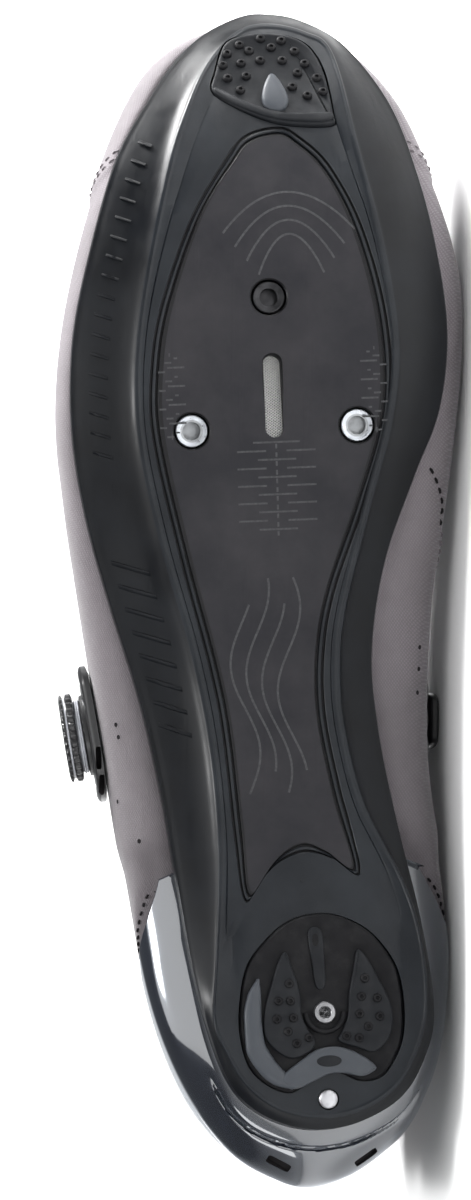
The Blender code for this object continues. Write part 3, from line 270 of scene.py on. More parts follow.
def curve_value(rows, column, stations):
    """Smooth curve through one column of a table, which never overshoots its rows."""
    xs = np.array([row[0] for row in rows])
    ys = np.array([row[column] for row in rows])
    steps = np.diff(xs)
    slopes = np.diff(ys) / steps
    tangents = np.concatenate(([slopes[0]], np.zeros(len(xs) - 2), [slopes[-1]]))
    before, after = slopes[:-1], slopes[1:]
    same = before * after > 0
    tangents[1:-1][same] = 2 * (before * after)[same] / (before + after)[same]
    x = np.clip(stations, xs[0], xs[-1])
    i = np.clip(np.searchsorted(xs, x) - 1, 0, len(xs) - 2)
    t = (x - xs[i]) / steps[i]
    rise = ys[i + 1] - ys[i]
    a, b = steps[i] * tangents[i] - rise, rise - steps[i] * tangents[i + 1]
    return ys[i] + t * rise + t * (1 - t) * (a * (1 - t) + b * t)


def unit(vectors):
    """Vectors made one long; those of no length stay so."""
    return vectors / np.maximum(np.linalg.norm(vectors, axis=-1), 1e-9)[..., None]


def turns(count):
    """Angles spread evenly over a full turn."""
    return np.linspace(0, 2 * math.pi, count, endpoint=False)


def run_of(line):
    """Distance run along an open line at each of its points."""
    return np.concatenate(([0], np.cumsum(np.linalg.norm(np.diff(line, axis=0), axis=1))))


def along_line(line, at):
    """Points of an open line at distances along it."""
    run = run_of(line)
    return np.stack([np.interp(at, run, column) for column in np.transpose(line)], axis=1)


def outline(rows, width, fineness=14):
    """Closed smooth line in plan through a table's points."""
    points = np.array(rows) * (SHOE_LENGTH, width)
    before, after = np.roll(points, 1, axis=0), np.roll(points, -1, axis=0)
    beyond = np.roll(points, -2, axis=0)
    line = []
    for step in range(fineness):
        t = step / fineness
        line.append(0.5 * (2 * points + t * (after - before)
                           + t**2 * (2 * before - 5 * points + 4 * after - beyond)
                           + t**3 * (3 * points - before - 3 * after + beyond)))
    return np.stack(line, axis=1).reshape(-1, 2)


def reach(line, starts, directions):
    """Distance from each start to the closed line, along each direction."""
    edge = (np.roll(line, -1, axis=0) - line)[None]
    gap = line[None] - starts[:, None]
    cross = directions[:, None, 0] * edge[..., 1] - directions[:, None, 1] * edge[..., 0]
    cross = np.where(np.abs(cross) < 1e-12, 1e-12, cross)
    along = (gap[..., 0] * edge[..., 1] - gap[..., 1] * edge[..., 0]) / cross
    share = (gap[..., 0] * directions[:, None, 1] - gap[..., 1] * directions[:, None, 0]) / cross
    return np.where((share >= -1e-9) & (share <= 1 + 1e-9) & (along > 0), along, 0).max(axis=1)


def fan(line, straight, toe, heel):
    """Rays in plan from the spine to a closed line: along the lateral side, round the
    toe, back along the medial side and round the heel."""
    front, back = np.array([SPINE_FRONT, SPINE_SIDE]), np.array([SPINE_BACK, SPINE_SIDE])
    ends = []
    for tip, sign, count in ((SPINE_FRONT, 1, toe), (SPINE_BACK, -1, heel)):
        arc = line[(line[:, 0] - tip) * sign > 0]
        arc = arc[np.argsort(np.arctan2(arc[:, 1] - SPINE_SIDE, (arc[:, 0] - tip) * sign) * sign)]
        ends.append(along_line(arc, np.linspace(0, run_of(arc)[-1], count + 2)[1:-1]))
    stations = np.linspace(SPINE_BACK, SPINE_FRONT, straight)
    side = np.stack([stations, np.full(straight, SPINE_SIDE)], axis=1)
    starts = np.concatenate([side, np.tile(front, (toe, 1)), side[::-1], np.tile(back, (heel, 1))])
    lateral = np.tile([0.0, -1.0], (straight, 1))
    return starts, unit(np.concatenate([lateral, ends[0] - front, -lateral, ends[1] - back]))


def base_height(x):
    share = np.asarray(x) / SHOE_LENGTH
    return curve_value(SOLE_HEIGHTS, 1, share) * TOE_SPRING + curve_value(SOLE_HEIGHTS, 2, share) * ARCH_RISE


def feather_height(x):
    return base_height(x) + curve_value(SOLE_HEIGHTS, 3, np.asarray(x) / SHOE_LENGTH) * SIDE_HEIGHT


def out(starts, directions, distance):
    return starts + directions * np.asarray(distance)[..., None]


def raised(plan, height):
    return np.concatenate([plan, np.asarray(height)[:, None]], axis=1)


def sole_normal(x):
    """Direction out of the sole's underside at a station."""
    slope = float(base_height(x + 1) - base_height(x - 1)) / 2
    return Vector((slope, 0, -1)).normalized()


def sole_point(x, y):
    """Point on the sole's underside."""
    return Vector((x, y, float(base_height(x))))


EDGE = outline(SOLE_EDGE, BALL_WIDTH)
RIDGE = outline(RIDGE_LINE, BALL_WIDTH)
CHANNEL = outline(CHANNEL_LINE, BALL_WIDTH)
RAYS = fan(EDGE, 170, 130, 140)


def band_point(share, rays=RAYS):
    """Underside of the sole between the ridge (0) and the edge (1)."""
    edge, ridge = reach(EDGE, *rays), reach(RIDGE, *rays)
    plan = out(*rays, ridge + share * (edge - ridge))
    rim = out(*rays, edge)
    station = rim[:, 0] / SHOE_LENGTH
    lateral, medial = (curve_value(HOLLOW_SHARE, column, station) for column in (1, 2))
    hollow = np.where(rim[:, 1] < 0, lateral, medial)
    rise = curve_value(BAND_PROFILE, 1, share) * (1 - hollow) + curve_value(BAND_PROFILE, 2, share) * hollow
    base = base_height(plan[:, 0])
    low = feather_height(rim[:, 0]) - SIDE_WALL_HEIGHT
    return raised(plan, base + rise * (low - base))


def footbed(distance):
    """Top of the sole's plate at a distance in from the edge."""
    edge, ridge = reach(EDGE, *RAYS), reach(RIDGE, *RAYS)
    share = np.clip((edge - distance - ridge) / (edge - ridge), 0, 1)
    height = band_point(share)[:, 2]
    plan = out(*RAYS, edge - distance)
    roof = feather_height(out(*RAYS, edge)[:, 0]) - 0.2 * SIDE_WALL_HEIGHT
    return raised(plan, np.minimum(height + PLATE_THICKNESS * (1 - 0.2 * share), roof))


def numbered(grid):
    """Numbers of a grid's points, in the grid's own rows."""
    return np.arange(grid.size // 3).reshape(grid.shape[:-1])


def quad_faces(ids, wrap):
    """Corners of the faces between rows of numbered points; wrap joins a row's ends."""
    after = np.roll(ids, -1, axis=-1)
    if not wrap:
        ids, after = ids[..., :-1], after[..., :-1]
    return np.stack([ids[..., :-1, :], after[..., :-1, :], after[..., 1:, :], ids[..., 1:, :]], axis=-1)


def face_mesh(name, points, quads, zone=None):
    """Mesh of four-cornered faces, with each face's finish."""
    mesh = bpy.data.meshes.new(name)
    mesh.from_pydata(np.reshape(points, (-1, 3)).tolist(), [], np.reshape(quads, (-1, 4)).tolist())
    if zone is not None:
        mesh.polygons.foreach_set("material_index", np.ravel(zone).tolist())
    return mesh


def skin(name, grid, finishes, wrap=True, closed=False, zones=None, keep=None, sharp=32.0):
    """Faces over rows of points. Wrap joins the two ends of each row, closed joins the
    last row to the first, zones gives each strip's finish and keep the faces to make."""
    grid = np.asarray(grid, dtype=float)
    ids = numbered(grid)
    quads = quad_faces(np.concatenate([ids, ids[:1]]) if closed else ids, wrap)
    zone = np.zeros(quads.shape[:2], int)
    if zones is not None:
        zone += np.array(zones)[:, None]
    if keep is not None:
        quads, zone = quads[keep], zone[keep]
    return shown(name, face_mesh(name, grid, quads, zone), finishes, sharp, weld=1e-4)


def shown(name, mesh, finishes, sharp=32.0, weld=0.0):
    """Piece from a mesh in the shoe's frame, closed up, turned outward and laid down."""
    shape = bmesh.new()
    shape.from_mesh(mesh)
    if weld:
        bmesh.ops.remove_doubles(shape, verts=shape.verts, dist=weld)
        loose = [corner for corner in shape.verts if not corner.link_faces]
        bmesh.ops.delete(shape, geom=loose, context="VERTS")
    bmesh.ops.recalc_face_normals(shape, faces=shape.faces)
    shape.transform(LAY)
    shape.to_mesh(mesh)
    shape.free()
    for finish in finishes:
        mesh.materials.append(finish)
    mesh.shade_smooth()
    mesh.set_sharp_from_angle(angle=math.radians(sharp))
    piece = bpy.data.objects.new(name, mesh)
    bpy.context.scene.collection.objects.link(piece)
    return piece


def stood(rows, place, axis):
    """Rows of points drawn along z, turned to an axis and moved to their place."""
    turn = Vector((0, 0, 1)).rotation_difference(Vector(axis)).to_matrix()
    return np.array(rows) @ np.array(turn).T + np.array(place)


def turned(name, profile, finishes, place, axis, sides=64, zones=None):
    """Round piece about an axis: rows of radius and height, ended on the axis."""
    rows = [[(r * math.cos(a), r * math.sin(a), z) for a in turns(sides)] for r, z in profile]
    return skin(name, stood(rows, place, axis), finishes, zones=zones)


def sideways(along):
    """Directions in plan square to others."""
    return unit(np.stack([-along[:, 1], along[:, 0]], axis=1))


def line_inset(line, gap):
    """Closed plan line drawn in by a gap."""
    line = np.array(line, dtype=float)
    across = sideways(np.roll(line, -1, axis=0) - np.roll(line, 1, axis=0))
    area = (line[:, 0] * np.roll(line[:, 1], -1) - line[:, 1] * np.roll(line[:, 0], -1)).sum()
    return line + across * gap * np.sign(area)


def from_shape(name, shape, finishes, sharp=32.0):
    """Piece from a shape that was built up face by face."""
    mesh = bpy.data.meshes.new(name)
    shape.to_mesh(mesh)
    shape.free()
    return shown(name, mesh, finishes, sharp)


def loft(shape, rings, wrap=True):
    """Add the faces between rows of points to a shape, and give the rows' corners."""
    corners = [[shape.verts.new(point) for point in ring] for ring in rings]
    for lower, higher in zip(corners, corners[1:]):
        for i in range(len(lower) if wrap else len(lower) - 1):
            j = (i + 1) % len(lower)
            shape.faces.new((lower[i], lower[j], higher[j], higher[i]))
    return corners


def stack(name, rings, finishes, sharp=32.0):
    """Closed piece over rings of points with a flat cap at each end."""
    shape = bmesh.new()
    corners = loft(shape, rings)
    shape.faces.new(corners[0])
    shape.faces.new(corners[-1])
    return from_shape(name, shape, finishes, sharp)


def upright(name, line, levels, finishes, sharp=32.0):
    """Block over a closed plan line: rows of inset and height, ended in flat caps."""
    rings = [raised(line_inset(line, inset), np.full(len(line), float(z))) for inset, z in levels]
    return stack(name, rings, finishes, sharp)


def slot_line(length, width, place, steps=14):
    """Plan line of a slot with round ends, along x."""
    half, radius = (length - width) / 2, width / 2
    points = []
    for end, start in ((half, -math.pi / 2), (-half, math.pi / 2)):
        for k in range(steps + 1):
            a = start + math.pi * k / steps
            points.append((place + end + radius * math.cos(a), radius * math.sin(a)))
    return points


def carve(piece, cutters):
    """Cut other pieces out of one, keeping the cutters' finish on the cut faces."""
    for cutter in cutters:
        cut = piece.modifiers.new(cutter.name, "BOOLEAN")
        cut.operation, cut.object, cut.solver = "DIFFERENCE", cutter, "EXACT"
        cut.material_mode = "TRANSFER"
    graph = bpy.context.evaluated_depsgraph_get()
    mesh = bpy.data.meshes.new_from_object(piece.evaluated_get(graph), depsgraph=graph)
    piece.modifiers.clear()
    piece.data = mesh
    mesh.set_sharp_from_angle(angle=math.radians(32))
    for cutter in cutters:
        bpy.data.objects.remove(cutter)


def belongs(piece, slot, *nodes):
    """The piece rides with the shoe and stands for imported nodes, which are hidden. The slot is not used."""
    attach(piece, "root")
    if nodes:
        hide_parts(*nodes)
    return piece


def finish(name, colour, roughness, metallic=0.0, coat=0.0, coat_roughness=0.05, specular=0.5, sheen=0.0):
    """Plain finish, ready for the grain, tint and relief that follow."""
    material = bpy.data.materials.new(name)
    material.use_nodes = True
    shader = material.node_tree.nodes["Principled BSDF"]
    shader.inputs["Base Color"].default_value = (*colour, 1)
    shader.inputs["Roughness"].default_value = roughness
    shader.inputs["Metallic"].default_value = metallic
    shader.inputs["Coat Weight"].default_value = coat
    shader.inputs["Coat Roughness"].default_value = coat_roughness
    shader.inputs["Specular IOR Level"].default_value = specular
    shader.inputs["Sheen Weight"].default_value = sheen
    shader.inputs["Sheen Roughness"].default_value = 0.4
    return material


def node(material, kind, values=(), links=()):
    """Add one node, set its sockets, and feed it from other nodes' outputs."""
    made = material.node_tree.nodes.new(kind)
    for key, value in dict(values).items():
        made.inputs[key].default_value = value
    for key, source in dict(links).items():
        material.node_tree.links.new(source, made.inputs[key])
    return made


def shoe_place(material):
    """Place on the shoe, the same on every piece, for the grain to follow."""
    return node(material, "ShaderNodeTexCoord").outputs["Object"]


def noise(material, scale, detail=3.0, roughness=0.5, stretch=(1.0, 1.0, 1.0)):
    """Noise with features about one over its scale across, in metres."""
    spread = node(material, "ShaderNodeMapping", {"Scale": stretch}, {"Vector": shoe_place(material)})
    values = {"Scale": scale, "Detail": detail, "Roughness": roughness}
    links = {"Vector": spread.outputs["Vector"]}
    return node(material, "ShaderNodeTexNoise", values, links).outputs["Fac"]


def ramp(material, source, low, high, start=0.0, end=1.0):
    """Stretch a value between low and high to run from start to end."""
    span = {"From Min": low, "From Max": high, "To Min": start, "To Max": end}
    return node(material, "ShaderNodeMapRange", span, {"Value": source}).outputs["Result"]


def tint(material, source, other):
    """Shade the colour towards another one where the source is high."""
    shader = material.node_tree.nodes["Principled BSDF"]
    socket = shader.inputs["Base Color"]
    mix = material.node_tree.nodes.new("ShaderNodeMix")
    mix.data_type = "RGBA"
    if socket.links:
        material.node_tree.links.new(socket.links[0].from_socket, mix.inputs[6])
    else:
        mix.inputs[6].default_value = socket.default_value
    mix.inputs[7].default_value = (*other, 1)
    material.node_tree.links.new(source, mix.inputs[0])
    material.node_tree.links.new(mix.outputs[2], socket)


def wear(material, source, low, high):
    """Let the roughness run from low to high with the source."""
    shader = material.node_tree.nodes["Principled BSDF"]
    material.node_tree.links.new(ramp(material, source, 0.35, 0.65, low, high), shader.inputs["Roughness"])


def relief(material, source, distance, strength=1.0):
    """Raise the surface by a source, on top of any relief it has."""
    shader = material.node_tree.nodes["Principled BSDF"]
    socket = shader.inputs["Normal"]
    bump = node(material, "ShaderNodeBump", {"Distance": distance, "Strength": strength}, {"Height": source})
    if socket.links:
        material.node_tree.links.new(socket.links[0].from_socket, bump.inputs["Normal"])
    material.node_tree.links.new(bump.outputs["Normal"], socket)


def composite(name, colour, other, roughness):
    """Moulded composite: cloudy colour, fine flow grain and hairline scratches."""
    material = finish(name, colour, roughness, specular=0.2)
    tint(material, ramp(material, noise(material, 60.0, 5.0, 0.6), 0.35, 0.7), other)
    wear(material, noise(material, 140.0, 4.0, 0.6, (0.4, 1.0, 1.0)), roughness - 0.06, roughness + 0.1)
    relief(material, noise(material, 900.0, 3.0, 0.6), 0.00003, 0.5)
    scratches = noise(material, 260.0, 2.0, 0.5, (0.06, 1.0, 1.6))
    relief(material, ramp(material, scratches, 0.62, 0.7), 0.00003, 0.35)
    return material


PANEL = composite("panel_composite", (0.010, 0.010, 0.013), (0.021, 0.020, 0.023), 0.44)
MARGIN = composite("margin_composite", (0.006, 0.0075, 0.010), (0.013, 0.0155, 0.019), 0.36)
BAND = composite("band_composite", (0.002, 0.0025, 0.0035), (0.005, 0.006, 0.008), 0.36)
# Painted shade: the channel's walls, the walls of the cut pockets, vent, toe recess and rivet seat, and the
# heel dimple are drawn darker than the plate.
RECESS_SHADE = composite("recess_wall_shade", (0.004, 0.004, 0.005), (0.006, 0.006, 0.007), 0.5)


def make_outsole():
    edge, ridge, channel = (reach(line, *RAYS) for line in (EDGE, RIDGE, CHANNEL))
    rim = out(*RAYS, edge)
    feather = feather_height(rim[:, 0])
    flat = np.minimum(ridge, edge - 5.5)
    rings, zones = [], []

    def ring(points, zone):
        rings.append(points)
        zones.append(zone)

    for share in (0.0, 0.35, 0.7):
        plan = out(*RAYS, share * flat)
        ring(raised(plan, base_height(plan[:, 0]) + PLATE_THICKNESS), 1)
    ring(footbed(edge - flat), 1)
    ring(footbed(RIM_WIDTH), 1)
    ring(raised(out(*RAYS, edge - 0.8 * RIM_WIDTH), feather), 2)
    ring(raised(out(*RAYS, edge - 0.5), feather), 2)
    ring(raised(out(*RAYS, edge - 0.15), feather - 0.15), 2)
    ring(raised(rim, feather - 0.6), 2)
    ring(raised(rim, feather - 0.7 * SIDE_WALL_HEIGHT), 2)
    ring(raised(rim, feather - 0.9 * SIDE_WALL_HEIGHT), 2)
    for share in np.linspace(0.985, 0.02, 26):
        ring(band_point(share), 2)
    # A raised lip runs along the ridge, then a hairline step, then the channel
    for inset, lift in ((0.0, 0.10), (0.3, 0.28), (0.9, 0.28), (1.25, 0.06), (LIP_WIDTH, 0.0)):
        plan = out(*RAYS, ridge - inset)
        ring(raised(plan, base_height(plan[:, 0]) - lift), 1)
    room = np.maximum(ridge - LIP_WIDTH - (channel + CHANNEL_HALF), 0.4)
    for share, lift in ((0.22, 0.0), (0.27, -0.22), (0.32, 0.0), (0.6, 0.0), (0.85, 0.0)):
        plan = out(*RAYS, ridge - LIP_WIDTH - share * room)
        ring(raised(plan, base_height(plan[:, 0]) - lift), 1)
    # The channel's walls take the painted shade, and its floor the margin's finish.
    for offset, depth in CHANNEL_PROFILE:
        plan = out(*RAYS, channel + offset)
        ring(raised(plan, base_height(plan[:, 0]) + depth), 1 if abs(offset) < 0.4 else 3)
    for share in (0.97, 0.85, 0.7, 0.5, 0.3, 0.12, 0.0):
        plan = out(*RAYS, share * (channel - CHANNEL_HALF))
        ring(raised(plan, base_height(plan[:, 0])), 0)
    zones[-len(CHANNEL_PROFILE) - 7] = 1
    return skin("outsole_body", np.array(rings), [PANEL, MARGIN, BAND, RECESS_SHADE], zones=zones[:-1])


def toe_plane(points, height):
    """Points of a plan at a height above the toe tread's own leaning plane."""
    normal = np.array(sole_normal(TOE_TREAD_STATION))
    foot = np.array(sole_point(TOE_TREAD_STATION, 0))
    rows = []
    for x, y in points:
        slide = np.array((x - TOE_TREAD_STATION, y, 0.0))
        slide[2] = (x - TOE_TREAD_STATION) * normal[0] / -normal[2]
        rows.append(foot + slide + normal * height)
    return np.array(rows)


def cut_outsole(sole):
    """Pockets for the inserts, the vent, both treads and the rivet; all but the heel tread's give painted
    shade to their walls.
    """
    pocket = ((0, -3.8), (NUT_POCKET, -3.8), (NUT_POCKET, -0.35), (NUT_POCKET + 0.4, 0.05),
              (NUT_POCKET + 0.6, 2.0), (0, 2.0))
    cutters = [turned("pocket_" + name, pocket, [RECESS_SHADE], sole_point(x, y), sole_normal(x))
               for name, x, y in NUT_PLACES]
    base = float(base_height(VENT_PLACE))
    levels = ((0, base + 9), (0, base + 0.3), (-0.35, base - 0.1), (-0.35, base - 5))
    cutters.append(upright("vent_cut", slot_line(VENT_LENGTH, VENT_WIDTH, VENT_PLACE), levels, [RECESS_SHADE]))
    heel, toe = (outline(line, BALL_WIDTH, TREAD_FINENESS) for line in (HEEL_TREAD_LINE, TOE_TREAD_LINE))
    cutters.append(upright("heel_cut", heel, ((0, HEEL_FLOOR), (0, 0), (0, -9)), [MARGIN]))
    rings = [toe_plane(line_inset(toe, gap), height)
             for gap, height in ((0, -TOE_RECESS_DEPTH), (0, 0.1), (-0.4, 9))]
    cutters.append(stack("toe_cut", rings, [RECESS_SHADE]))
    seat = ((0, -2.4), (2.5, -2.4), (2.5, 4.0), (0, 4.0))
    place = sole_point(RIVET_PLACE, HEEL_LINE)
    cutters.append(turned("rivet_cut", seat, [RECESS_SHADE], place, sole_normal(RIVET_PLACE)))
    carve(sole, cutters)


outsole = make_outsole()
cut_outsole(outsole)
belongs(outsole, "outsole_composite", "outsole")

# Scales, marks and ribs of the sole
# Pale setting scales are printed beside the cleat's inserts. Plain ribs stand on the
# lateral band, and a few wave lines are printed in the panel.
PRINT = finish("pale_print", (0.052, 0.053, 0.056), 0.5, specular=0.2)
tint(PRINT, ramp(PRINT, noise(PRINT, 1500.0, 2.0), 0.3, 0.7), (0.03, 0.031, 0.033))
RULE_WIDTH, WAVE_WIDTH, PRINT_LIFT = 0.42, 0.5, 0.05
SIDE_SCALE_START, SIDE_SCALE_STEP = 176.2, 2.15
MIDDLE_SCALE_START, MIDDLE_SCALE_STEP = 173.2, 2.0
# Ribs: first and last station, pitch, low and high share of the band, lean, half width
RIB_ROWS = ((108.0, 151.0, 5.4, 0.26, 0.80, 3.0, 0.8), (172.0, 246.0, 4.6, 0.42, 0.72, 1.6, 0.5))
RIB_HEIGHT, RIB_WAY = 0.34, Vector((0, -0.25, -0.97))


def ribbon(shape, points, width=RULE_WIDTH):
    """Thin printed line along points on the sole's underside."""
    points = np.array(points, dtype=float)
    across = sideways(np.gradient(points, axis=0))
    loft(shape, [[(x, y, float(base_height(x)) - PRINT_LIFT) for x, y in points + across * width * sign]
                 for sign in (-0.5, 0.5)], wrap=False)


def make_print():
    shape = bmesh.new()
    for side in (-1, 1):
        for k in range(9):
            x = SIDE_SCALE_START + SIDE_SCALE_STEP * k
            inner, outer = (20.6, 26.6) if k % 2 else (22.2, 25.0)
            ribbon(shape, [(x, side * inner), (x, side * (outer - 2.0))])
            ribbon(shape, [(x - 1.0, side * (outer - 1.4)), (x - 1.0, side * (outer + 0.2))])
        ribbon(shape, [(174.6, side * 24.0), (194.6, side * 24.0)], 0.3)
    for k in range(11):
        x = MIDDLE_SCALE_START - MIDDLE_SCALE_STEP * k
        if k % 2:
            ribbon(shape, [(x, -9.0), (x, -2.2)])
            ribbon(shape, [(x, 2.6), (x, 9.4)])
        else:
            half = 5.2 if k == 0 else 4.2
            ribbon(shape, [(x, -half), (x, half + 0.6)])
        ribbon(shape, [(x - 0.4, 0.2), (x - 1.5, 0.2)], 0.45)
    # Four nested arcs towards the toe, then four waves towards the heel
    for rank in range(4):
        half = 15.5 - 2.6 * rank
        plan = [(232.0 - 3.4 * rank - 9.5 * t * t, 5.6 + half * t) for t in np.linspace(-1.0, 1.0, 40)]
        ribbon(shape, plan, WAVE_WIDTH)
    run = np.linspace(0.0, 1.0, 60)
    for rank in range(4):
        plan = [(92.0 + 50.0 * t, -9.0 + 3.6 * rank + 3.0 * math.sin(2 * math.pi * t * 1.25 + 0.35 * rank))
                for t in run[6 * (rank % 2):60 - 7 * ((rank + 1) % 2)]]
        ribbon(shape, plan, WAVE_WIDTH)
    return from_shape("sole_print", shape, [PRINT])


def band_spot(x, share):
    """Place on the lateral side band."""
    return Vector(band_point(share, (np.array([[x, SPINE_SIDE]]), np.array([[0.0, -1.0]])))[0])


def make_ribs():
    """Rows of slanted ribs on the lateral band, moulded with the sole."""
    shape = bmesh.new()
    for first, last, pitch, low, high, lean, half in RIB_ROWS:
        for x in np.arange(first, last, pitch):
            rows = []
            for share in np.linspace(low, high, 7):
                t = (share - low) / (high - low)
                middle = x + lean * (t - 0.5)
                swell = RIB_HEIGHT * math.sin(math.pi * min(max(t, 0.06), 0.94)) ** 0.5
                section = ((-half, -0.3), (-0.55 * half, swell), (0.55 * half, swell), (half, -0.3))
                rows.append([band_spot(middle + off, share) + RIB_WAY * rise for off, rise in section])
            loft(shape, rows, wrap=False)
    return from_shape("band_ribs", shape, [BAND], 60)


belongs(make_print(), "outsole_composite")
belongs(make_ribs(), "outsole_composite")

# Cleat inserts
# Three threaded steel inserts take the bolts of a cleat. The two rear ones are bright
# and the front one is blackened, and each sits just under the sole's face.


def metal(name, colour, roughness):
    """Turned metal with fine rings and a little dirt."""
    material = finish(name, colour, roughness, metallic=1.0)
    wear(material, noise(material, 900.0, 3.0), roughness - 0.06, roughness + 0.14)
    relief(material, noise(material, 2500.0, 2.0), 0.00001, 0.4)
    tint(material, ramp(material, noise(material, 350.0, 4.0), 0.55, 0.8), tuple(0.6 * c for c in colour))
    return material


BRIGHT = metal("insert_steel", (0.44, 0.46, 0.49), 0.32)
BLACKENED = metal("insert_blackened", (0.035, 0.035, 0.037), 0.34)
BORE_SHADE = metal("insert_bore", (0.30, 0.31, 0.32), 0.45)


def make_inserts():
    """Flanged inserts, with five turns of thread down the bore."""
    flange = [(3.75, -3.5), (3.75, -0.62), (3.55, -0.45), (3.05, -0.45), (2.85, -0.55), (2.65, -0.55)]
    thread = [(radius, -0.75 - 0.5 * k - drop) for k in range(5) for radius, drop in ((2.15, 0), (2.4, 0.25))]
    profile = flange + thread + [(2.15, -3.3), (0.0, -3.3)]
    zones = [0] * (len(flange) - 1) + [1] * (len(thread) + 2)
    for name, x, y in NUT_PLACES:
        front = name == "cleat_nut_front"
        finishes = [BLACKENED, BLACKENED] if front else [BRIGHT, BORE_SHADE]
        piece = turned(name + "_threaded", profile, finishes, sole_point(x, y), sole_normal(x), zones=zones)
        belongs(piece, "blackened_steel" if front else "fastener_steel", name)


make_inserts()

# Vent screen
# A fine knitted mesh lies behind the vent slot and keeps grit out. Light grey yarn
# shows as a diagonal net over a dark sheet of painted shade for the vent's inside.
YARN = finish("vent_yarn", (0.50, 0.50, 0.49), 0.8)
tint(YARN, ramp(YARN, noise(YARN, 1400.0, 3.0), 0.4, 0.7), (0.36, 0.36, 0.355))
relief(YARN, noise(YARN, 4000.0, 2.0), 0.00002, 0.5)
# Painted shade: a dark sheet behind the net stands for the shade inside the vent.
NET_SHADE = finish("vent_painted_shade", (0.05, 0.05, 0.052), 0.9)
relief(NET_SHADE, noise(NET_SHADE, 2000.0), 0.00002)
YARN_PITCH = 0.62


def make_screen():
    base = float(base_height(VENT_PLACE))
    line = slot_line(VENT_LENGTH + 1.6, VENT_WIDTH + 1.6, VENT_PLACE)
    back = upright("vent_screen_painted_shade", line, ((0, base + 3.4), (0, base + 3.0)), [NET_SHADE])
    belongs(back, "vent_mesh", "vent_screen")
    shape = bmesh.new()
    half_long, half_wide = VENT_LENGTH / 2 + 0.4, VENT_WIDTH / 2 + 0.4
    for lean in (-1, 1):
        for start in np.arange(-half_long - half_wide, half_long + half_wide, YARN_PITCH):
            rows = []
            for y in np.linspace(-half_wide, half_wide, 17):
                x = start + lean * 0.75 * y
                if abs(x) > half_long:
                    continue
                high = base + 2.75 + 0.09 * lean * math.cos(math.pi * (x + y) / YARN_PITCH)
                rows.append([(VENT_PLACE + x + 0.17 * math.cos(a), y, high + 0.15 * math.sin(a))
                             for a in turns(6)])
            loft(shape, rows)
    belongs(from_shape("vent_screen_net", shape, [YARN], 70), "vent_mesh")


make_screen()

# Heel tread
# A rubber pad sits in a round recess and is held by one screw in a black channel. It
# carries two lobes of small studs, a curved bar and a raised crescent.
LOBE_LATERAL = (
    (54.6, -3.2), (50.8, -1.9), (45.3, -0.4), (40.0, -0.2), (36.4, 1.2), (34.0, 2.6), (31.6, 1.6),
    (30.0, -2.6), (31.7, -6.2), (35.6, -9.0), (42.0, -8.6), (47.8, -6.7), (52.5, -4.9),
)
LOBE_MEDIAL = (
    (54.5, 13.6), (50.0, 12.4), (44.8, 11.2), (39.5, 10.6), (36.0, 9.2), (33.6, 8.2), (31.9, 12.5),
    (30.7, 16.2), (33.2, 19.5), (37.4, 21.0), (42.2, 20.5), (47.7, 18.1), (52.6, 15.6),
)
HEEL_BAR = (
    (22.9, -2.6), (25.6, -5.6), (29.6, -0.6), (31.9, 3.4), (32.2, 8.2), (30.3, 12.9), (27.4, 16.5),
    (26.0, 15.6), (25.2, 13.0), (26.1, 9.0), (26.0, 5.6), (24.4, 1.6),
)
# Inner and outer side of the crescent, paired from one tip to the other
CRESCENT = (
    (48.6, -9.6, 48.8, -10.1), (44.8, -9.4, 45.0, -12.5), (39.6, -9.5, 39.8, -13.6),
    (34.4, -9.1, 33.0, -13.5), (30.2, -7.2, 27.3, -10.8), (26.9, -4.6, 24.0, -7.1),
    (24.4, -2.4, 22.8, -3.1),
)
STUDS_LATERAL = (
    (47.3, -2.8), (43.3, -2.7), (39.3, -2.2), (36.2, -3.6), (33.4, -1.7), (43.4, -5.5), (39.2, -6.1),
    (34.6, 1.2),
)
STUDS_MEDIAL = (
    (47.8, 14.9), (43.6, 13.9), (43.1, 17.6), (39.6, 13.3), (38.8, 18.0), (36.6, 15.2), (34.0, 12.9),
    (34.6, 10.0),
)
SCREW_PLACE = (40.3, 5.3)
TREAD_GAP, PAD_ROOT = 0.35, 6.6
# Stud from root to dimple: share of the radius, share of the height
STUD_PROFILE = ((1.0, 0.3), (1.0, -0.25), (0.9, -0.8), (0.72, -1.0), (0.42, -1.0), (0.3, -0.55), (0.0, -0.5))


def rubber(name, colour, roughness=0.55):
    """Moulded rubber: fine matt grain, dusty in patches."""
    material = finish(name, colour, roughness, specular=0.18)
    dust = ramp(material, noise(material, 220.0, 5.0, 0.65), 0.5, 0.75)
    tint(material, dust, tuple(c + 0.008 for c in colour))
    wear(material, noise(material, 320.0, 3.0), roughness - 0.08, roughness + 0.12)
    relief(material, noise(material, 1900.0, 3.0, 0.7), 0.00004, 0.6)
    return material


RUBBER = rubber("tread_rubber", (0.007, 0.008, 0.010))
RUBBER_BLACK = rubber("tread_rubber_black", (0.003, 0.003, 0.004), 0.6)
RUBBER_PALE = rubber("tread_rubber_grey", (0.048, 0.053, 0.061), 0.4)


def rounded_line(points):
    """Closed smooth line through points given in millimetres."""
    return outline(np.array(points) / (SHOE_LENGTH, 1.0), 1.0, 6)


def oval_line(x, y, half_x, half_y, count):
    """Closed plan line of an oval."""
    return [(x + half_x * math.cos(a), y + half_y * math.sin(a)) for a in turns(count)]


def pad(name, line, top, bottom, finishes, round_off=0.35):
    """Raised pad with a rounded edge; it stands from top down to bottom."""
    rows = [(0.0, top), (0.0, bottom + round_off)]
    for k in range(1, 5):
        a = math.pi / 2 * k / 4
        rows.append((round_off * (1 - math.cos(a)), bottom + round_off * (1 - math.sin(a))))
    return upright(name, line, rows, finishes, sharp=50)


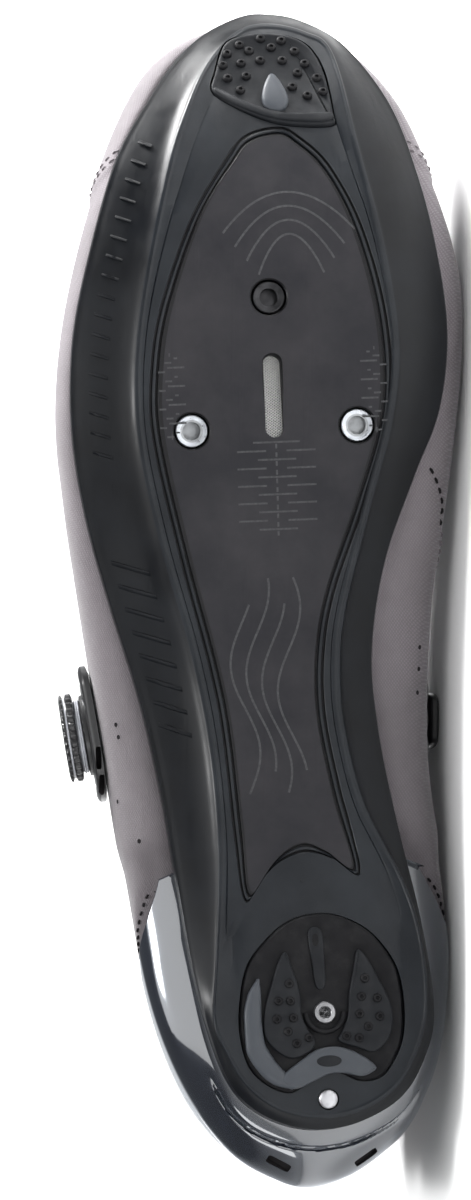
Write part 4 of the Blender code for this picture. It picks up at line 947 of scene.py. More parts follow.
def make_studs(name, places, plane, finishes, radius=1.05, height=0.75):
    """Small round studs, each with a dimple in its tip."""
    shape = bmesh.new()
    for x, y in places:
        foot, normal = plane(x, y)
        turn = np.array(Vector((0, 0, -1)).rotation_difference(normal).to_matrix())
        loft(shape, [[np.array(foot) + turn @ (radius * r * math.cos(a), radius * r * math.sin(a), height * z)
                      for a in turns(18)] for r, z in STUD_PROFILE])
    bmesh.ops.remove_doubles(shape, verts=shape.verts, dist=1e-4)
    return from_shape(name, shape, finishes, 50)


def make_crescent():
    """Curved ridge that narrows to both tips."""
    table = np.column_stack([np.arange(len(CRESCENT)), CRESCENT])
    at = np.linspace(0, len(CRESCENT) - 1, 60)
    inner, outer = (np.stack([curve_value(table, k, at), curve_value(table, k + 1, at)], axis=1)
                    for k in (1, 3))
    section = ((0.0, 0.0), (0.0, 0.62), (0.10, 0.88), (0.28, 1.0), (0.72, 1.0), (0.90, 0.88), (1.0, 0.62),
               (1.0, 0.0))
    rows = [raised(inner + (outer - inner) * share, PAD_ROOT - 2.3 * rise * np.ones(len(at)))
            for share, rise in section]
    return skin("heel_crescent", rows, [RUBBER_PALE], wrap=False, closed=True, sharp=50)


def make_heel_tread():
    line = line_inset(outline(HEEL_TREAD_LINE, BALL_WIDTH, TREAD_FINENESS), TREAD_GAP)
    levels = ((0, HEEL_FLOOR - SEAT_GAP), (0, 6.4), (0.4, 6.0))
    belongs(upright("heel_tread_base", line, levels, [RUBBER_BLACK]), "tread_rubber", "heel_tread")
    down = Vector((0, 0, -1))
    lobes = (("lateral", LOBE_LATERAL, STUDS_LATERAL), ("medial", LOBE_MEDIAL, STUDS_MEDIAL))
    for side, lobe, places in lobes:
        belongs(pad("heel_lobe_" + side, rounded_line(lobe), PAD_ROOT, 4.5, [RUBBER], 0.5), "tread_rubber")
        studs = make_studs("heel_studs_" + side, places, lambda x, y: ((x, y, 4.55), down), [RUBBER_BLACK])
        belongs(studs, "tread_rubber")
    belongs(pad("heel_bar", rounded_line(HEEL_BAR), PAD_ROOT, 4.1, [RUBBER_PALE], 0.7), "tread_rubber")
    belongs(make_crescent(), "tread_rubber")
    oval = oval_line(29.0, 5.6, 1.3, 2.9, 32)
    belongs(pad("heel_bar_oval", oval, 4.6, 3.85, [RUBBER], 0.25), "tread_rubber")
    key = rounded_line(((59.3, 2.4), (52.0, 2.9), (46.4, 3.6), (46.4, 5.6), (52.0, 5.8), (59.3, 5.4)))
    belongs(pad("heel_key", key, 6.4, 5.3, [RUBBER], 0.25), "tread_rubber")
    hole = oval_line(57.2, 3.9, 1.5, 0.8, 20)
    belongs(pad("heel_key_hole", hole, 5.6, 5.2, [RUBBER_BLACK], 0.05), "tread_rubber")
    # A lip runs half round the screw's well, on the heel side
    x, y = SCREW_PLACE
    half_turn = np.linspace(math.pi / 2, -math.pi / 2, 17)
    bend = [(x - 5.0 * math.cos(a), y + 5.0 * math.sin(a)) for a in half_turn]
    section = ((-0.05, 6.3), (0.0, 5.1), (0.35, 4.75), (0.8, 4.75), (1.1, 5.1), (1.2, 6.3))
    lip = bmesh.new()
    loft(lip, [[(px + (x - px) * inset / 5.0, py + (y - py) * inset / 5.0, z) for inset, z in section]
               for px, py in bend], wrap=False)
    belongs(from_shape("heel_well_lip", lip, [RUBBER_BLACK], 60), "tread_rubber")


make_heel_tread()

# Toe tread
# A second rubber pad under the toe carries rows of round studs, a teardrop knob and a
# raised lip along its rear edge.
TOE_LIP = (
    (251.2, 18.0), (249.2, 17.6), (249.3, 10.4), (250.6, 3.5), (253.6, -3.2), (256.9, -8.2),
    (258.6, -8.6), (258.0, -6.8), (254.9, -1.8), (252.3, 4.2), (251.2, 10.8),
)
TOE_STUDS = (
    (269.8, -1.2), (271.3, 4.0), (270.6, 8.8), (267.6, -4.4), (268.2, 0.9), (268.9, 6.2), (267.7, 11.6),
    (264.6, -5.8), (265.0, -1.4), (265.6, 3.2), (265.4, 8.4), (264.4, 13.6), (261.2, -5.0),
    (261.6, -0.6), (262.0, 11.6), (260.6, 16.0), (258.0, -2.4), (258.4, 9.9), (256.0, 13.2),
    (256.9, 17.0),
)


def make_toe_tread():
    line = line_inset(outline(TOE_TREAD_LINE, BALL_WIDTH, TREAD_FINENESS), TREAD_GAP)
    levels = ((0.0, -2.1), (0.0, -0.35), (0.12, -0.1), (0.4, 0.05), (0.8, 0.05), (1.1, -0.2))
    rings = [toe_plane(line_inset(line, inset), height) for inset, height in levels]
    belongs(stack("toe_tread_pad", rings, [RUBBER], 50), "tread_rubber", "toe_tread")
    normal = sole_normal(TOE_TREAD_STATION)
    studs = make_studs("toe_studs", TOE_STUDS, lambda x, y: (toe_plane([(x, y)], -0.2)[0], normal),
                       [RUBBER_BLACK], 1.15, 0.9)
    belongs(studs, "tread_rubber")
    drop = np.array([(252.1 + 4.9 * (1 - math.cos(a)) * (1 + 0.12 * math.sin(a / 2)) / 1.12,
                      5.4 + 4.1 * math.sin(a) * (0.42 + 0.58 * (1 + math.cos(a)) / 2)) for a in turns(48)])
    middle = drop.mean(axis=0)
    rings = [toe_plane(middle + (drop - middle) * share, height) for share, height in
             ((1.0, -0.5), (1.0, 0.35), (0.93, 0.8), (0.78, 1.1), (0.55, 1.3), (0.3, 1.4))]
    belongs(stack("toe_drop", rings, [RUBBER_PALE], 60), "tread_rubber")
    lip = rounded_line(TOE_LIP)
    rings = [toe_plane(line_inset(lip, inset), height) for inset, height in
             ((0.0, -0.6), (0.0, 0.35), (0.12, 0.6), (0.35, 0.72))]
    belongs(stack("toe_lip", rings, [RUBBER], 60), "tread_rubber")


make_toe_tread()

# Heel fixings
# A screw with a lobed socket holds the heel tread, and a domed alloy rivet sits behind
# it in the sole.
ALLOY = metal("rivet_alloy", (0.46, 0.46, 0.48), 0.4)
SCREW_STEEL = metal("screw_steel", (0.26, 0.26, 0.27), 0.35)


def make_fixings():
    x, y = SCREW_PLACE
    head = ((2.6, -1.9), (2.6, -0.35), (2.35, 0.0), (1.5, 0.06), (1.35, -0.1), (1.25, -1.1), (0.0, -1.1))
    screw = turned("heel_screw_head", head, [SCREW_STEEL], (x, y, 4.9), (0, 0, -1), 48)
    belongs(screw, "fastener_steel", "heel_screw")
    pins = bmesh.new()
    for k in range(3):
        a = 2 * math.pi * k / 3 + 0.4
        matrix = Matrix.Translation((x + 0.62 * math.cos(a), y + 0.62 * math.sin(a), 5.25))
        bmesh.ops.create_uvsphere(pins, u_segments=12, v_segments=8, radius=0.34, matrix=matrix)
    belongs(from_shape("heel_screw_socket", pins, [BLACKENED]), "fastener_steel")
    dome = ((2.2, -2.1), (2.2, -0.25), (2.0, -0.02), (1.5, 0.18), (0.8, 0.26), (0.0, 0.28))
    place, way = sole_point(RIVET_PLACE, HEEL_LINE), sole_normal(RIVET_PLACE)
    belongs(turned("heel_rivet_head", dome, [ALLOY], place, way, 48), "fastener_steel", "heel_rivet")
    dimple = ((0.55, -0.4), (0.55, 0.02), (0.4, 0.05), (0.35, -0.2), (0.0, -0.25))
    mark = turned("heel_dimple", dimple, [RECESS_SHADE], sole_point(71.3, 1.9), sole_normal(71.3), 20)
    belongs(mark, "outsole_composite")


make_fixings()

# Insole
# A loose foam insole lies on the sole's plate, cut a little smaller than the plate and
# rounded off at its rim. A knitted cover is bonded to its top.
INSOLE_INSET, INSOLE_THICKNESS = 5.7, 3.2


def make_insole():
    edge, ridge = reach(EDGE, *RAYS), reach(RIDGE, *RAYS)
    flat = np.minimum(ridge, edge - INSOLE_INSET - 1.5)

    def bed(share):
        plan = out(*RAYS, share * flat)
        return raised(plan, base_height(plan[:, 0]) + PLATE_THICKNESS)

    rings = [bed(share) for share in (0.0, 0.4, 0.8)] + [footbed(edge - flat), footbed(INSOLE_INSET)]
    under = np.array(rings) + (0, 0, SEAT_GAP)
    over = np.array(rings)[::-1] + (0, 0, SEAT_GAP + INSOLE_THICKNESS)
    middle = out(*RAYS, edge - INSOLE_INSET)
    side = [raised(middle, under[-1][:, 2] + rise) for rise in (0.6, INSOLE_THICKNESS - 0.9)]
    over[0] = raised(out(*RAYS, edge - INSOLE_INSET - 0.9), over[0][:, 2])
    cover = finish("insole_cover", (0.045, 0.047, 0.052), 0.9, specular=0.2, sheen=0.3)
    tint(cover, ramp(cover, noise(cover, 1800.0, 2.0), 0.4, 0.65), (0.11, 0.11, 0.12))
    relief(cover, noise(cover, 1500.0, 2.0), 0.0002, 0.7)
    return skin("insole_pad", np.concatenate([under, side, over]), [cover])


belongs(make_insole(), "insole_foam", "insole")

# Upper
# The upper is microfibre, pulled over a last and tucked in at the sole. The toe cap, the
# band round the throat and the rear of the medial quarter are laid on and stitched down.
LAST_WIDTH, INSTEP_HEIGHT, WAIST_HEIGHT = 98.0, 103.0, 37.0
WIDEST_LEVEL = 0.3
UPPER_WALL, CUP_WALL, CUP_GAP, SKIN_GAP = 1.8, 1.9, 0.95, 0.45
CUP_FRONT, SINK_END, COLLAR_END = 0.256, 0.300, 0.335
# Widest line of the last: share of the length, share of the last's width
LAST_LINE = (
    (0.000, 0.020), (0.007, -0.056), (0.033, -0.169), (0.087, -0.272), (0.164, -0.345),
    (0.267, -0.381), (0.372, -0.410), (0.475, -0.448), (0.576, -0.487), (0.660, -0.502),
    (0.751, -0.465), (0.854, -0.373), (0.933, -0.266), (0.971, -0.168), (0.988, -0.061),
    (0.994, 0.051), (0.987, 0.158), (0.964, 0.270), (0.922, 0.362), (0.868, 0.420),
    (0.787, 0.479), (0.709, 0.486), (0.587, 0.439), (0.489, 0.391), (0.360, 0.366),
    (0.254, 0.387), (0.177, 0.385), (0.102, 0.344), (0.052, 0.273), (0.027, 0.200),
    (0.008, 0.112),
)
# Station, height of the widest line, height of the top, sharpness of the arch, and the
# edge of collar and throat as a share of the quarter turn
LAST_SECTIONS = (
    (0.000, 0.62, 1.640, 1.00, 0.294), (0.029, 0.62, 1.605, 1.00, 0.297),
    (0.072, 0.62, 1.455, 1.05, 0.317), (0.115, 0.63, 1.207, 1.10, 0.357),
    (0.162, 0.65, 1.012, 1.15, 0.403), (0.215, 0.72, 0.893, 1.20, 0.475),
    (0.270, 0.80, 0.930, 1.20, 0.558), (0.310, 0.88, 0.996, 1.20, 0.621),
    (0.341, 0.90, 1.040, 1.20, 0.660), (0.395, 0.92, 1.000, 1.20, 0.684),
    (0.467, 0.86, 0.898, 1.20, 0.749),
    (0.538, 0.72, 0.810, 1.18, 0.803), (0.610, 0.60, 0.728, 1.15, 0.860),
    (0.664, 0.54, 0.675, 1.12, 0.911), (0.693, 0.53, 0.648, 1.10, 0.956),
    (0.707, 0.53, 0.632, 1.10, 1.000), (0.754, 0.55, 0.587, 1.06, 1.000),
    (0.800, 0.61, 0.554, 1.04, 1.000), (0.843, 0.68, 0.538, 1.02, 1.000),
    (0.890, 0.80, 0.538, 1.05, 1.000), (0.960, 1.00, 0.538, 1.15, 1.000),
    (0.995, 1.12, 0.538, 1.15, 1.000),
)
# Top of the heel cup: station, level
CUP_TOP = (
    (0.000, 0.66), (0.072, 0.66), (0.130, 0.59), (0.160, 0.50), (0.182, 0.41), (0.198, 0.33),
    (0.208, 0.27), (0.220, 0.20), (0.232, 0.15), (0.244, 0.11), (0.262, 0.07),
)
# Places of seams: level, millimetres from the heel
TOE_SEAM = ((0.0, 241.5), (0.15, 239.0), (0.3, 235.5), (0.5, 230.0), (0.75, 225.0), (1.0, 223.0))
QUARTER_SEAM = (
    (0.0, 170.0), (0.12, 162.5), (0.22, 155.5), (0.34, 147.0), (0.5, 139.0), (0.7, 134.0), (1.0, 131.0),
)
# Lower edge of the band round the throat: station, level
THROAT_BAND = (
    (0.34, 1.25), (0.37, 0.90), (0.46, 0.82), (0.58, 0.78), (0.68, 0.77), (0.735, 0.82),
    (0.756, 0.92), (0.768, 1.10), (0.80, 1.60),
)
# Flexing creases over the toes: place, slant, depth, width
CREASES = (
    (170.0, 9.0, 0.30, 3.4), (181.0, 12.0, 0.42, 4.2), (193.0, 14.0, 0.34, 3.8),
    (204.0, 15.0, 0.20, 3.4),
)
LAST = outline(LAST_LINE, LAST_WIDTH)
UPPER_LEVELS = np.concatenate([np.linspace(0, WIDEST_LEVEL, 16)[:-1], np.linspace(WIDEST_LEVEL, 1, 40)])


def smooth(value):
    value = np.clip(value, 0, 1)
    return value * value * (3 - 2 * value)


def last_point(starts, directions, level):
    """Place on the last: level 0 at the feather line, WIDEST_LEVEL at the widest line and
    1 at the edge of collar and throat, or on the ridge over the toes."""
    edge, wide = reach(EDGE, starts, directions), reach(LAST, starts, directions)
    station = out(starts, directions, wide)[:, 0] / SHOE_LENGTH
    low = feather_height(out(starts, directions, edge)[:, 0]) + SEAT_GAP
    middle = curve_value(LAST_SECTIONS, 1, station) * WAIST_HEIGHT
    top = curve_value(LAST_SECTIONS, 2, np.minimum(station, SPINE_FRONT / SHOE_LENGTH)) * INSTEP_HEIGHT
    sharp = curve_value(LAST_SECTIONS, 3, station)
    end = curve_value(LAST_SECTIONS, 4, station)
    level = np.broadcast_to(level, station.shape)
    under = np.clip(level / WIDEST_LEVEL, 0, 1) * math.pi / 2
    over = np.minimum(np.clip((level - WIDEST_LEVEL) / (1 - WIDEST_LEVEL), 0, None) * end, 1) * math.pi / 2
    inset = edge - UPPER_INSET
    lower = level < WIDEST_LEVEL
    distance = np.where(lower, inset + (wide - inset) * np.sin(under),
                        wide * np.maximum(np.cos(over), 0) ** sharp)
    height = np.where(lower, low + (middle - low) * (1 - np.cos(under)),
                      middle + (top - middle) * np.sin(over))
    return raised(out(starts, directions, distance), height)


def side_rays(x, side):
    """Rays straight out to the lateral (-1) or the medial (1) side."""
    x = np.asarray(x, dtype=float)
    return np.stack([x, np.full(len(x), SPINE_SIDE)], axis=1), np.tile([0.0, float(side)], (len(x), 1))


def over_level(x, share):
    """Level at a share of the quarter turn over the arch."""
    end = curve_value(LAST_SECTIONS, 4, np.asarray(x) / SHOE_LENGTH)
    return WIDEST_LEVEL + (1 - WIDEST_LEVEL) * share / end


def ring_normals(rings):
    """Outward directions on rings of points; where both sides meet they are made one."""
    around = np.roll(rings, -1, axis=1) - np.roll(rings, 1, axis=1)
    around[-1] = np.where(np.abs(around[-1]).sum(axis=1, keepdims=True) < 1e-6, around[-2], around[-1])
    normals = unit(np.cross(around, np.gradient(rings, axis=0)))
    row = len(rings) // 3
    normals *= np.sign((normals[row] * (rings[row] - rings[row].mean(axis=0))).sum())
    keys = {}
    for i, point in enumerate(rings[-1].round(3)):
        keys.setdefault(tuple(point), []).append(i)
    for same in keys.values():
        normals[-1, same] = normals[-1, same].sum(axis=0)
    return unit(normals)


def upper_relief(rings, lateral):
    """How far the outer face stands off the last: in behind the heel cup, out at the
    collar's padding and the laid-on panels, and in folds where the foot bends."""
    level = UPPER_LEVELS[:, None]
    x = rings[:, :, 0]
    station = np.broadcast_to(rings[len(UPPER_LEVELS) // 3, :, 0] / SHOE_LENGTH, x.shape)
    behind = smooth((SINK_END - station) / (SINK_END - CUP_FRONT - 0.01))
    above = smooth((level - curve_value(CUP_TOP, 1, station) - 0.03) / 0.10)
    rise = -behind * (CUP_WALL + CUP_GAP) * (1 - above)
    puff = np.exp(-(((level - 0.86) / 0.10) ** 2)) * smooth((0.36 - station) / 0.08)
    rise += 1.1 * puff - 0.7 * behind * above
    rise += 0.6 * smooth((x - np.interp(level, *np.transpose(TOE_SEAM))) / 1.6 + 0.5) * smooth(level / 0.06)
    band = curve_value(THROAT_BAND, 1, x / SHOE_LENGTH)
    rise += 0.42 * smooth((level - band) / 0.022 + 0.5)
    seam = np.interp(level, *np.transpose(QUARTER_SEAM))
    rear = smooth((seam - x) / 1.6 + 0.5) * ~lateral * (1 - behind) * smooth(level / 0.05)
    rise += 0.4 * rear * (1 - smooth((level - band) / 0.022 + 0.5))
    for place, slant, depth, width in CREASES:
        lean = x - place - slant * (level - 0.6)
        near = np.exp(-((lean / width) ** 2)) - 0.8 * np.exp(-(((lean - 1.9 * width) / (1.3 * width)) ** 2))
        rise -= depth * near * smooth((level - 0.30) / 0.25) * (1 - 0.6 * smooth((level - 0.85) / 0.15))
    wave = np.sin(x / 9.0 + 5 * level) * np.sin(x / 23.0 + 2.0) * np.sin(level * 9.0)
    return rise + 0.12 * wave * (1 - behind)


def make_upper_rings():
    rings = np.array([last_point(*RAYS, level) for level in UPPER_LEVELS])
    normals = ring_normals(rings)
    lateral = np.broadcast_to(out(*RAYS, reach(EDGE, *RAYS))[:, 1] < 0, rings.shape[:2])
    outer = rings + normals * upper_relief(rings, lateral)[..., None]
    tuck = normals.copy()
    tuck[0, :, :2], tuck[0, :, 2] = RAYS[1], 0
    return outer, outer - tuck * UPPER_WALL


UPPER_OUT, UPPER_IN = make_upper_rings()
WIDE_STATION = out(*RAYS, reach(LAST, *RAYS))[:, 0] / SHOE_LENGTH
OPEN_TOP = curve_value(LAST_SECTIONS, 4, WIDE_STATION) < 0.9999


def search_tree(points, quads):
    """Tree that finds the nearest place on faces over points."""
    return BVHTree.FromPolygons(points.reshape(-1, 3).tolist(), quads.reshape(-1, 4).tolist())


UPPER_FACE = search_tree(UPPER_OUT, quad_faces(numbered(UPPER_OUT), True))


def nearest(tree, points, core_of, lift=0.0):
    """Nearest places on faces, raised by a lift, and the ways out from a core."""
    places, ways = [], []
    for point in np.reshape(points, (-1, 3)):
        place, way = tree.find_nearest(Vector(point))[:2]
        way = way if way.dot(place - core_of(place)) > 0 else -way
        places.append(place + way * lift)
        ways.append(way)
    return np.array(places), np.array(ways)


def on_upper(points):
    """Nearest places on the upper's outer face, and the way out."""
    return nearest(UPPER_FACE, points,
                   lambda place: Vector((min(max(place.x, 60.0), 225.0), SPINE_SIDE, 32.0)))


def under_spot(x, y):
    """Place on the upper seen from below at a plan position."""
    hit = UPPER_FACE.ray_cast(Vector((x, y, -60.0)), Vector((0, 0, 1)))[0]
    return hit if hit is not None else Vector((x, y, 20.0))


def last_line(side, spots):
    """Line over the last through stations in millimetres and levels, a point each mm."""
    spots = np.array(spots, dtype=float)
    run = np.concatenate(([0], np.cumsum(np.hypot(np.diff(spots[:, 0]), 70 * np.diff(spots[:, 1])))))
    at = np.linspace(0, run[-1], max(int(run[-1]), 4))
    table = np.column_stack([run, spots])
    return last_point(*side_rays(curve_value(table, 1, at), side), curve_value(table, 2, at))


def evenly(line, pitch):
    """Points along an open line at a pitch."""
    return along_line(line, np.arange(pitch / 2, run_of(line)[-1], pitch))


def strands(name, paths, ways, radii, finishes):
    """Round strands along paths, with a way up at each place and a radius at each step."""
    paths, ways = np.array(paths), np.array(ways)
    along = unit(np.gradient(paths, axis=1))
    across = unit(np.cross(along, ways))
    up = np.cross(across, along)
    angles = turns(6)[:, None]
    ring = up[:, :, None] * np.cos(angles) + across[:, :, None] * np.sin(angles)
    points = paths[:, :, None] + ring * radii[:, None, None]
    return shown(name, face_mesh(name, points, quad_faces(numbered(points), True)), finishes, weld=1e-4)


def stitches(name, lines, finishes, pitch=2.6, length=2.0, radius=0.2, lift=0.05, carrier=on_upper):
    """Rows of thread along lines, each stitch dipping into the material at its ends."""
    paths, ways = [], []
    for line in lines:
        starts = evenly(line, pitch)
        for here, after in zip(starts[:-1], starts[1:]):
            steps = np.linspace(0, length / pitch, 5)[:, None]
            points, normals = carrier(here + (after - here) * steps)
            dip = np.array((-0.25, 0.1, 0.2, 0.1, -0.25))[:, None]
            paths.append(points + normals * (lift + dip))
            ways.append(normals)
    return strands(name, paths, ways, np.array((0.3, 1.0, 1.0, 1.0, 0.3)) * radius, finishes)


def punched(name, points, radius, finishes):
    """Round punched holes: a dark floor inside a soft lip of the material."""
    places, ways = on_upper(points)
    first = unit(np.cross(ways, (0.0, 0.0, 1.0)))
    second = np.cross(ways, first)
    angles = turns(9)[None, :, None]
    ring = first[:, None] * np.cos(angles) + second[:, None] * np.sin(angles)
    rows = [places[:, None] + ring * radius * wide + ways[:, None] * rise
            for wide, rise in ((1.7, -0.05), (1.35, 0.05), (1.02, 0.04), (0.9, 0.02), (0.0, 0.015))]
    points = np.stack(rows, axis=1)
    quads = quad_faces(numbered(points), True)
    zone = np.broadcast_to(np.array((0, 0, 1, 1))[None, :, None], quads.shape[:3])
    return shown(name, face_mesh(name, points, quads, zone), finishes, weld=1e-4)


def weave(material, pitch, turn):
    """Crossed threads, a pitch apart in metres."""
    heights = []
    waves = {"Scale": 0.628 / pitch, "Distortion": 1.6, "Detail": 1.0, "Detail Scale": 1.5}
    for sign in (1.0, -1.0):
        spread = node(material, "ShaderNodeMapping", {"Scale": (sign, 1.0, 1.0), "Rotation": turn},
                      {"Vector": shoe_place(material)})
        wave = node(material, "ShaderNodeTexWave", waves, {"Vector": spread.outputs["Vector"]})
        wave.bands_direction = "DIAGONAL"
        heights.append(wave.outputs["Fac"])
    both = node(material, "ShaderNodeMath", {}, {0: heights[0], 1: heights[1]})
    both.operation = "MULTIPLY"
    return both.outputs["Value"]


def microfibre(name, colour, other, dark):
    """Suede-like microfibre: cloudy nap over a fine diagonal grain, with painted shade that darkens it
    towards the heel.
    """
    material = finish(name, colour, 0.78, specular=0.25, sheen=0.25)
    tint(material, ramp(material, noise(material, 45.0, 4.0, 0.6), 0.35, 0.7), other)
    grain = weave(material, 0.0008, (0.0, 0.3, 0.2))
    tint(material, ramp(material, grain, 0.45, 0.05, 0.0, 0.55), dark)
    tint(material, ramp(material, noise(material, 1500.0, 3.0, 0.7), 0.62, 0.8, 0.0, 0.35), dark)
    # Painted shade: the colour falls to about half towards the heel end, where the light fades.
    along = node(material, "ShaderNodeSeparateXYZ", links={"Vector": shoe_place(material)}).outputs["X"]
    tint(material, ramp(material, along, 0.03, -0.08, 0.0, 0.85), tuple(0.36 * share for share in colour))
    wear(material, noise(material, 300.0, 3.0, 0.6), 0.68, 0.88)
    relief(material, grain, 0.00014, 0.55)
    relief(material, noise(material, 1300.0, 4.0, 0.65), 0.00010, 0.45)
    return material


MICROFIBRE = microfibre("upper_microfibre", (0.225, 0.203, 0.219), (0.17, 0.154, 0.164), (0.11, 0.098, 0.104))
LINING = microfibre("lining_knit", (0.030, 0.030, 0.034), (0.045, 0.045, 0.05), (0.012, 0.012, 0.014))
THREAD = finish("stitch_thread", (0.15, 0.135, 0.145), 0.6, specular=0.4)
relief(THREAD, noise(THREAD, 2500.0, 2.0), 0.00006, 0.6)
HOLE_SHADE = finish("punched_hole", (0.012, 0.011, 0.012), 0.9, specular=0.1)
relief(HOLE_SHADE, noise(HOLE_SHADE, 2000.0), 0.00005, 0.4)
BINDING = finish("edge_binding", (0.035, 0.035, 0.04), 0.7, specular=0.3, sheen=0.2)
relief(BINDING, weave(BINDING, 0.0007, (0.3, 0.2, 0.1)), 0.0001, 0.7)
BEAD = finish("feather_bead", (0.30, 0.28, 0.29), 0.5, specular=0.3)
tint(BEAD, ramp(BEAD, noise(BEAD, 120.0, 4.0), 0.4, 0.62), (0.09, 0.09, 0.10))


def make_upper():
    rise = unit(UPPER_OUT[-1] - UPPER_OUT[-2])
    middle, half = (UPPER_OUT[-1] + UPPER_IN[-1]) / 2, (UPPER_OUT[-1] - UPPER_IN[-1]) / 2
    rim = [middle + half * math.cos(angle) + rise * 0.9 * math.sin(angle)
           for angle in np.linspace(0, math.pi, 7)[1:-1]]
    rings = np.concatenate([UPPER_OUT, rim, UPPER_IN[::-3]])
    zones = [0] * (len(UPPER_OUT) + 1) + [1] * (len(rings) - len(UPPER_OUT) - 1)
    # Over the toes both sides meet, so no rim is made there
    keep = np.ones((len(rings), rings.shape[1]), bool)
    keep[len(UPPER_OUT) - 1:len(UPPER_OUT) + len(rim)] &= OPEN_TOP | np.roll(OPEN_TOP, -1)
    return skin("upper_shell", rings, [MICROFIBRE, LINING], closed=True, zones=zones, keep=keep)


belongs(make_upper(), "upper_microfibre", "upper")


def rim_order():
    """Columns of the upper's rim in turn, from where it is closed over the toes."""
    return np.roll(np.arange(len(OPEN_TOP)), -int(np.argmax(~OPEN_TOP)))


def make_edge_binding():
    """Folded tape over the edge of collar and throat, ended where both sides meet."""
    order = rim_order()
    order = order[OPEN_TOP[order]]
    top, inner = UPPER_OUT[-1][order], UPPER_IN[-1][order]
    rise, way = unit(top - UPPER_OUT[-3][order]), unit(top - inner)
    middle = (top + inner) / 2
    half = ((1.15, -3.2), (1.28, -2.9), (1.32, -1.0), (1.18, 0.5), (0.75, 1.15))
    section = (*half, (0.0, 1.4), *((-wide, high) for wide, high in half[::-1]))
    rows = [middle + way * wide + rise * high for wide, high in section]
    return skin("edge_binding", rows, [BINDING], wrap=False, closed=True)


belongs(make_edge_binding(), "upper_microfibre")


def make_collar_padding():
    """Soft roll round the collar's inside, full at the ankle and thin at its ends."""
    order = rim_order()
    order = order[WIDE_STATION[order] < COLLAR_END]
    top = UPPER_IN[-1][order]
    rise, way = unit(top - UPPER_IN[-9][order]), unit(top - UPPER_OUT[-1][order])
    full = smooth((COLLAR_END - WIDE_STATION[order]) / 0.10)[:, None]
    rows = []
    for angle in turns(20):
        wide = 0.55 + (2.6 + 2.6 * math.cos(angle)) * (0.12 + 0.88 * full)
        high = -9.5 + 7.5 * math.sin(angle)
        rows.append(top + way * (wide - 0.4) + rise * high * (0.45 + 0.55 * full))
    return skin("collar_padding", rows, [LINING], wrap=False, closed=True)


collar = belongs(make_collar_padding(), "upper_microfibre")

# Feather bead, seams, stitches and punched holes
# A thin bead of cement shows where the upper meets the sole. Polyester thread holds the
# laid-on panels, and small round holes are punched through both quarters.
# Holes low on the quarters, in plan, then fields of holes: side, first and last station,
# lowest and highest level, rows, pitch
LOW_HOLES = (
    (109.5, -44.2), (106.7, -43.6), (92.6, -38.2), (82.8, -34.2), (119.8, 39.6), (114.8, 39.3), (124.7, 40.1),
)
HOLE_FIELDS = (
    (-1, 176.0, 222.0, 0.46, 0.70, 4, 8.0), (1, 176.0, 222.0, 0.46, 0.70, 4, 8.0),
    (-1, 84.0, 98.0, 0.44, 0.60, 3, 7.0), (1, 86.0, 128.0, 0.30, 0.44, 3, 8.0),
)


def make_feather_bead():
    edge = reach(EDGE, *RAYS)
    height = feather_height(out(*RAYS, edge)[:, 0]) + 0.2
    middle = edge - UPPER_INSET + 0.15
    rows = [raised(out(*RAYS, middle + 0.42 * math.cos(angle)), height + 0.34 * math.sin(angle))
            for angle in turns(8)]
    return skin("feather_bead", rows, [BEAD], closed=True)


belongs(make_feather_bead(), "upper_microfibre")


def shifted(table, shift):
    """Seam as stations and levels, moved along the shoe."""
    return [(x + shift, level) for level, x in table]


def band_line(side, gap):
    """Line along the throat's band, a gap in level inside its lower edge."""
    x = np.linspace(0.375, 0.757, 90) * SHOE_LENGTH
    level = np.minimum(curve_value(THROAT_BAND, 1, x / SHOE_LENGTH) + gap, 0.995)
    return last_point(*side_rays(x, side), level)


def make_seam_threads():
    lines = []
    for side in (-1, 1):
        lines += [last_line(side, shifted(TOE_SEAM[:-1], shift)) for shift in (2.0, 4.2)]
        lines += [band_line(side, gap) for gap in (0.025, 0.055)]
        x = np.linspace(0.02, 0.335, 60)[25:] * SHOE_LENGTH
        lines.append(last_point(*side_rays(x, side), 0.70))
    lines += [last_line(1, shifted(QUARTER_SEAM[2:-1], shift)) for shift in (-1.6, -3.6)]
    return stitches("seam_threads", lines, [THREAD])


belongs(make_seam_threads(), "upper_microfibre")


def make_quarter_threads():
    """Darker, longer stitches where the medial quarter's seam meets the sole."""
    spots = ((168.2, 36.9), (165.4, 38.6), (161.7, 40.2), (158.4, 41.0), (155.1, 41.6), (151.5, 42.0))
    line = np.array([under_spot(x, y)[:] for x, y in spots])
    return stitches("quarter_threads", [line], [HOLE_SHADE], pitch=2.9, length=1.9, radius=0.34)


belongs(make_quarter_threads(), "upper_microfibre")


def hole_rows(side, first, last, level_low, level_high, rows, pitch):
    """Staggered rows of holes over a quarter."""
    spots = []
    for k, level in enumerate(np.linspace(level_low, level_high, rows)):
        x = np.arange(first + (k % 2) * pitch / 2, last, pitch)
        spots.append(last_point(*side_rays(x, side), level))
    return np.concatenate(spots)


def make_holes():
    groups = [np.array([under_spot(x, y)[:] for x, y in LOW_HOLES])]
    groups += [hole_rows(*field) for field in HOLE_FIELDS]
    return punched("punched_holes", np.concatenate(groups), 0.55, [MICROFIBRE, HOLE_SHADE])


belongs(make_holes(), "upper_microfibre")

# Heel cup
# The heel cup is one hard glossy moulding that grips the heel from outside. A rand runs
# along its foot under a groove, and two slots in its back take a reflector.
CUP_COLUMNS = 170
RAND_WIDTH, RAND_END, CUP_SLOT_HALF = 4.3, 0.072, 1.15
# Slots in the back of the cup: plan places of the two ends
CUP_SLOTS = (((7.7, -8.5), (4.4, -3.5)), ((4.8, 12.4), (8.4, 17.3)))


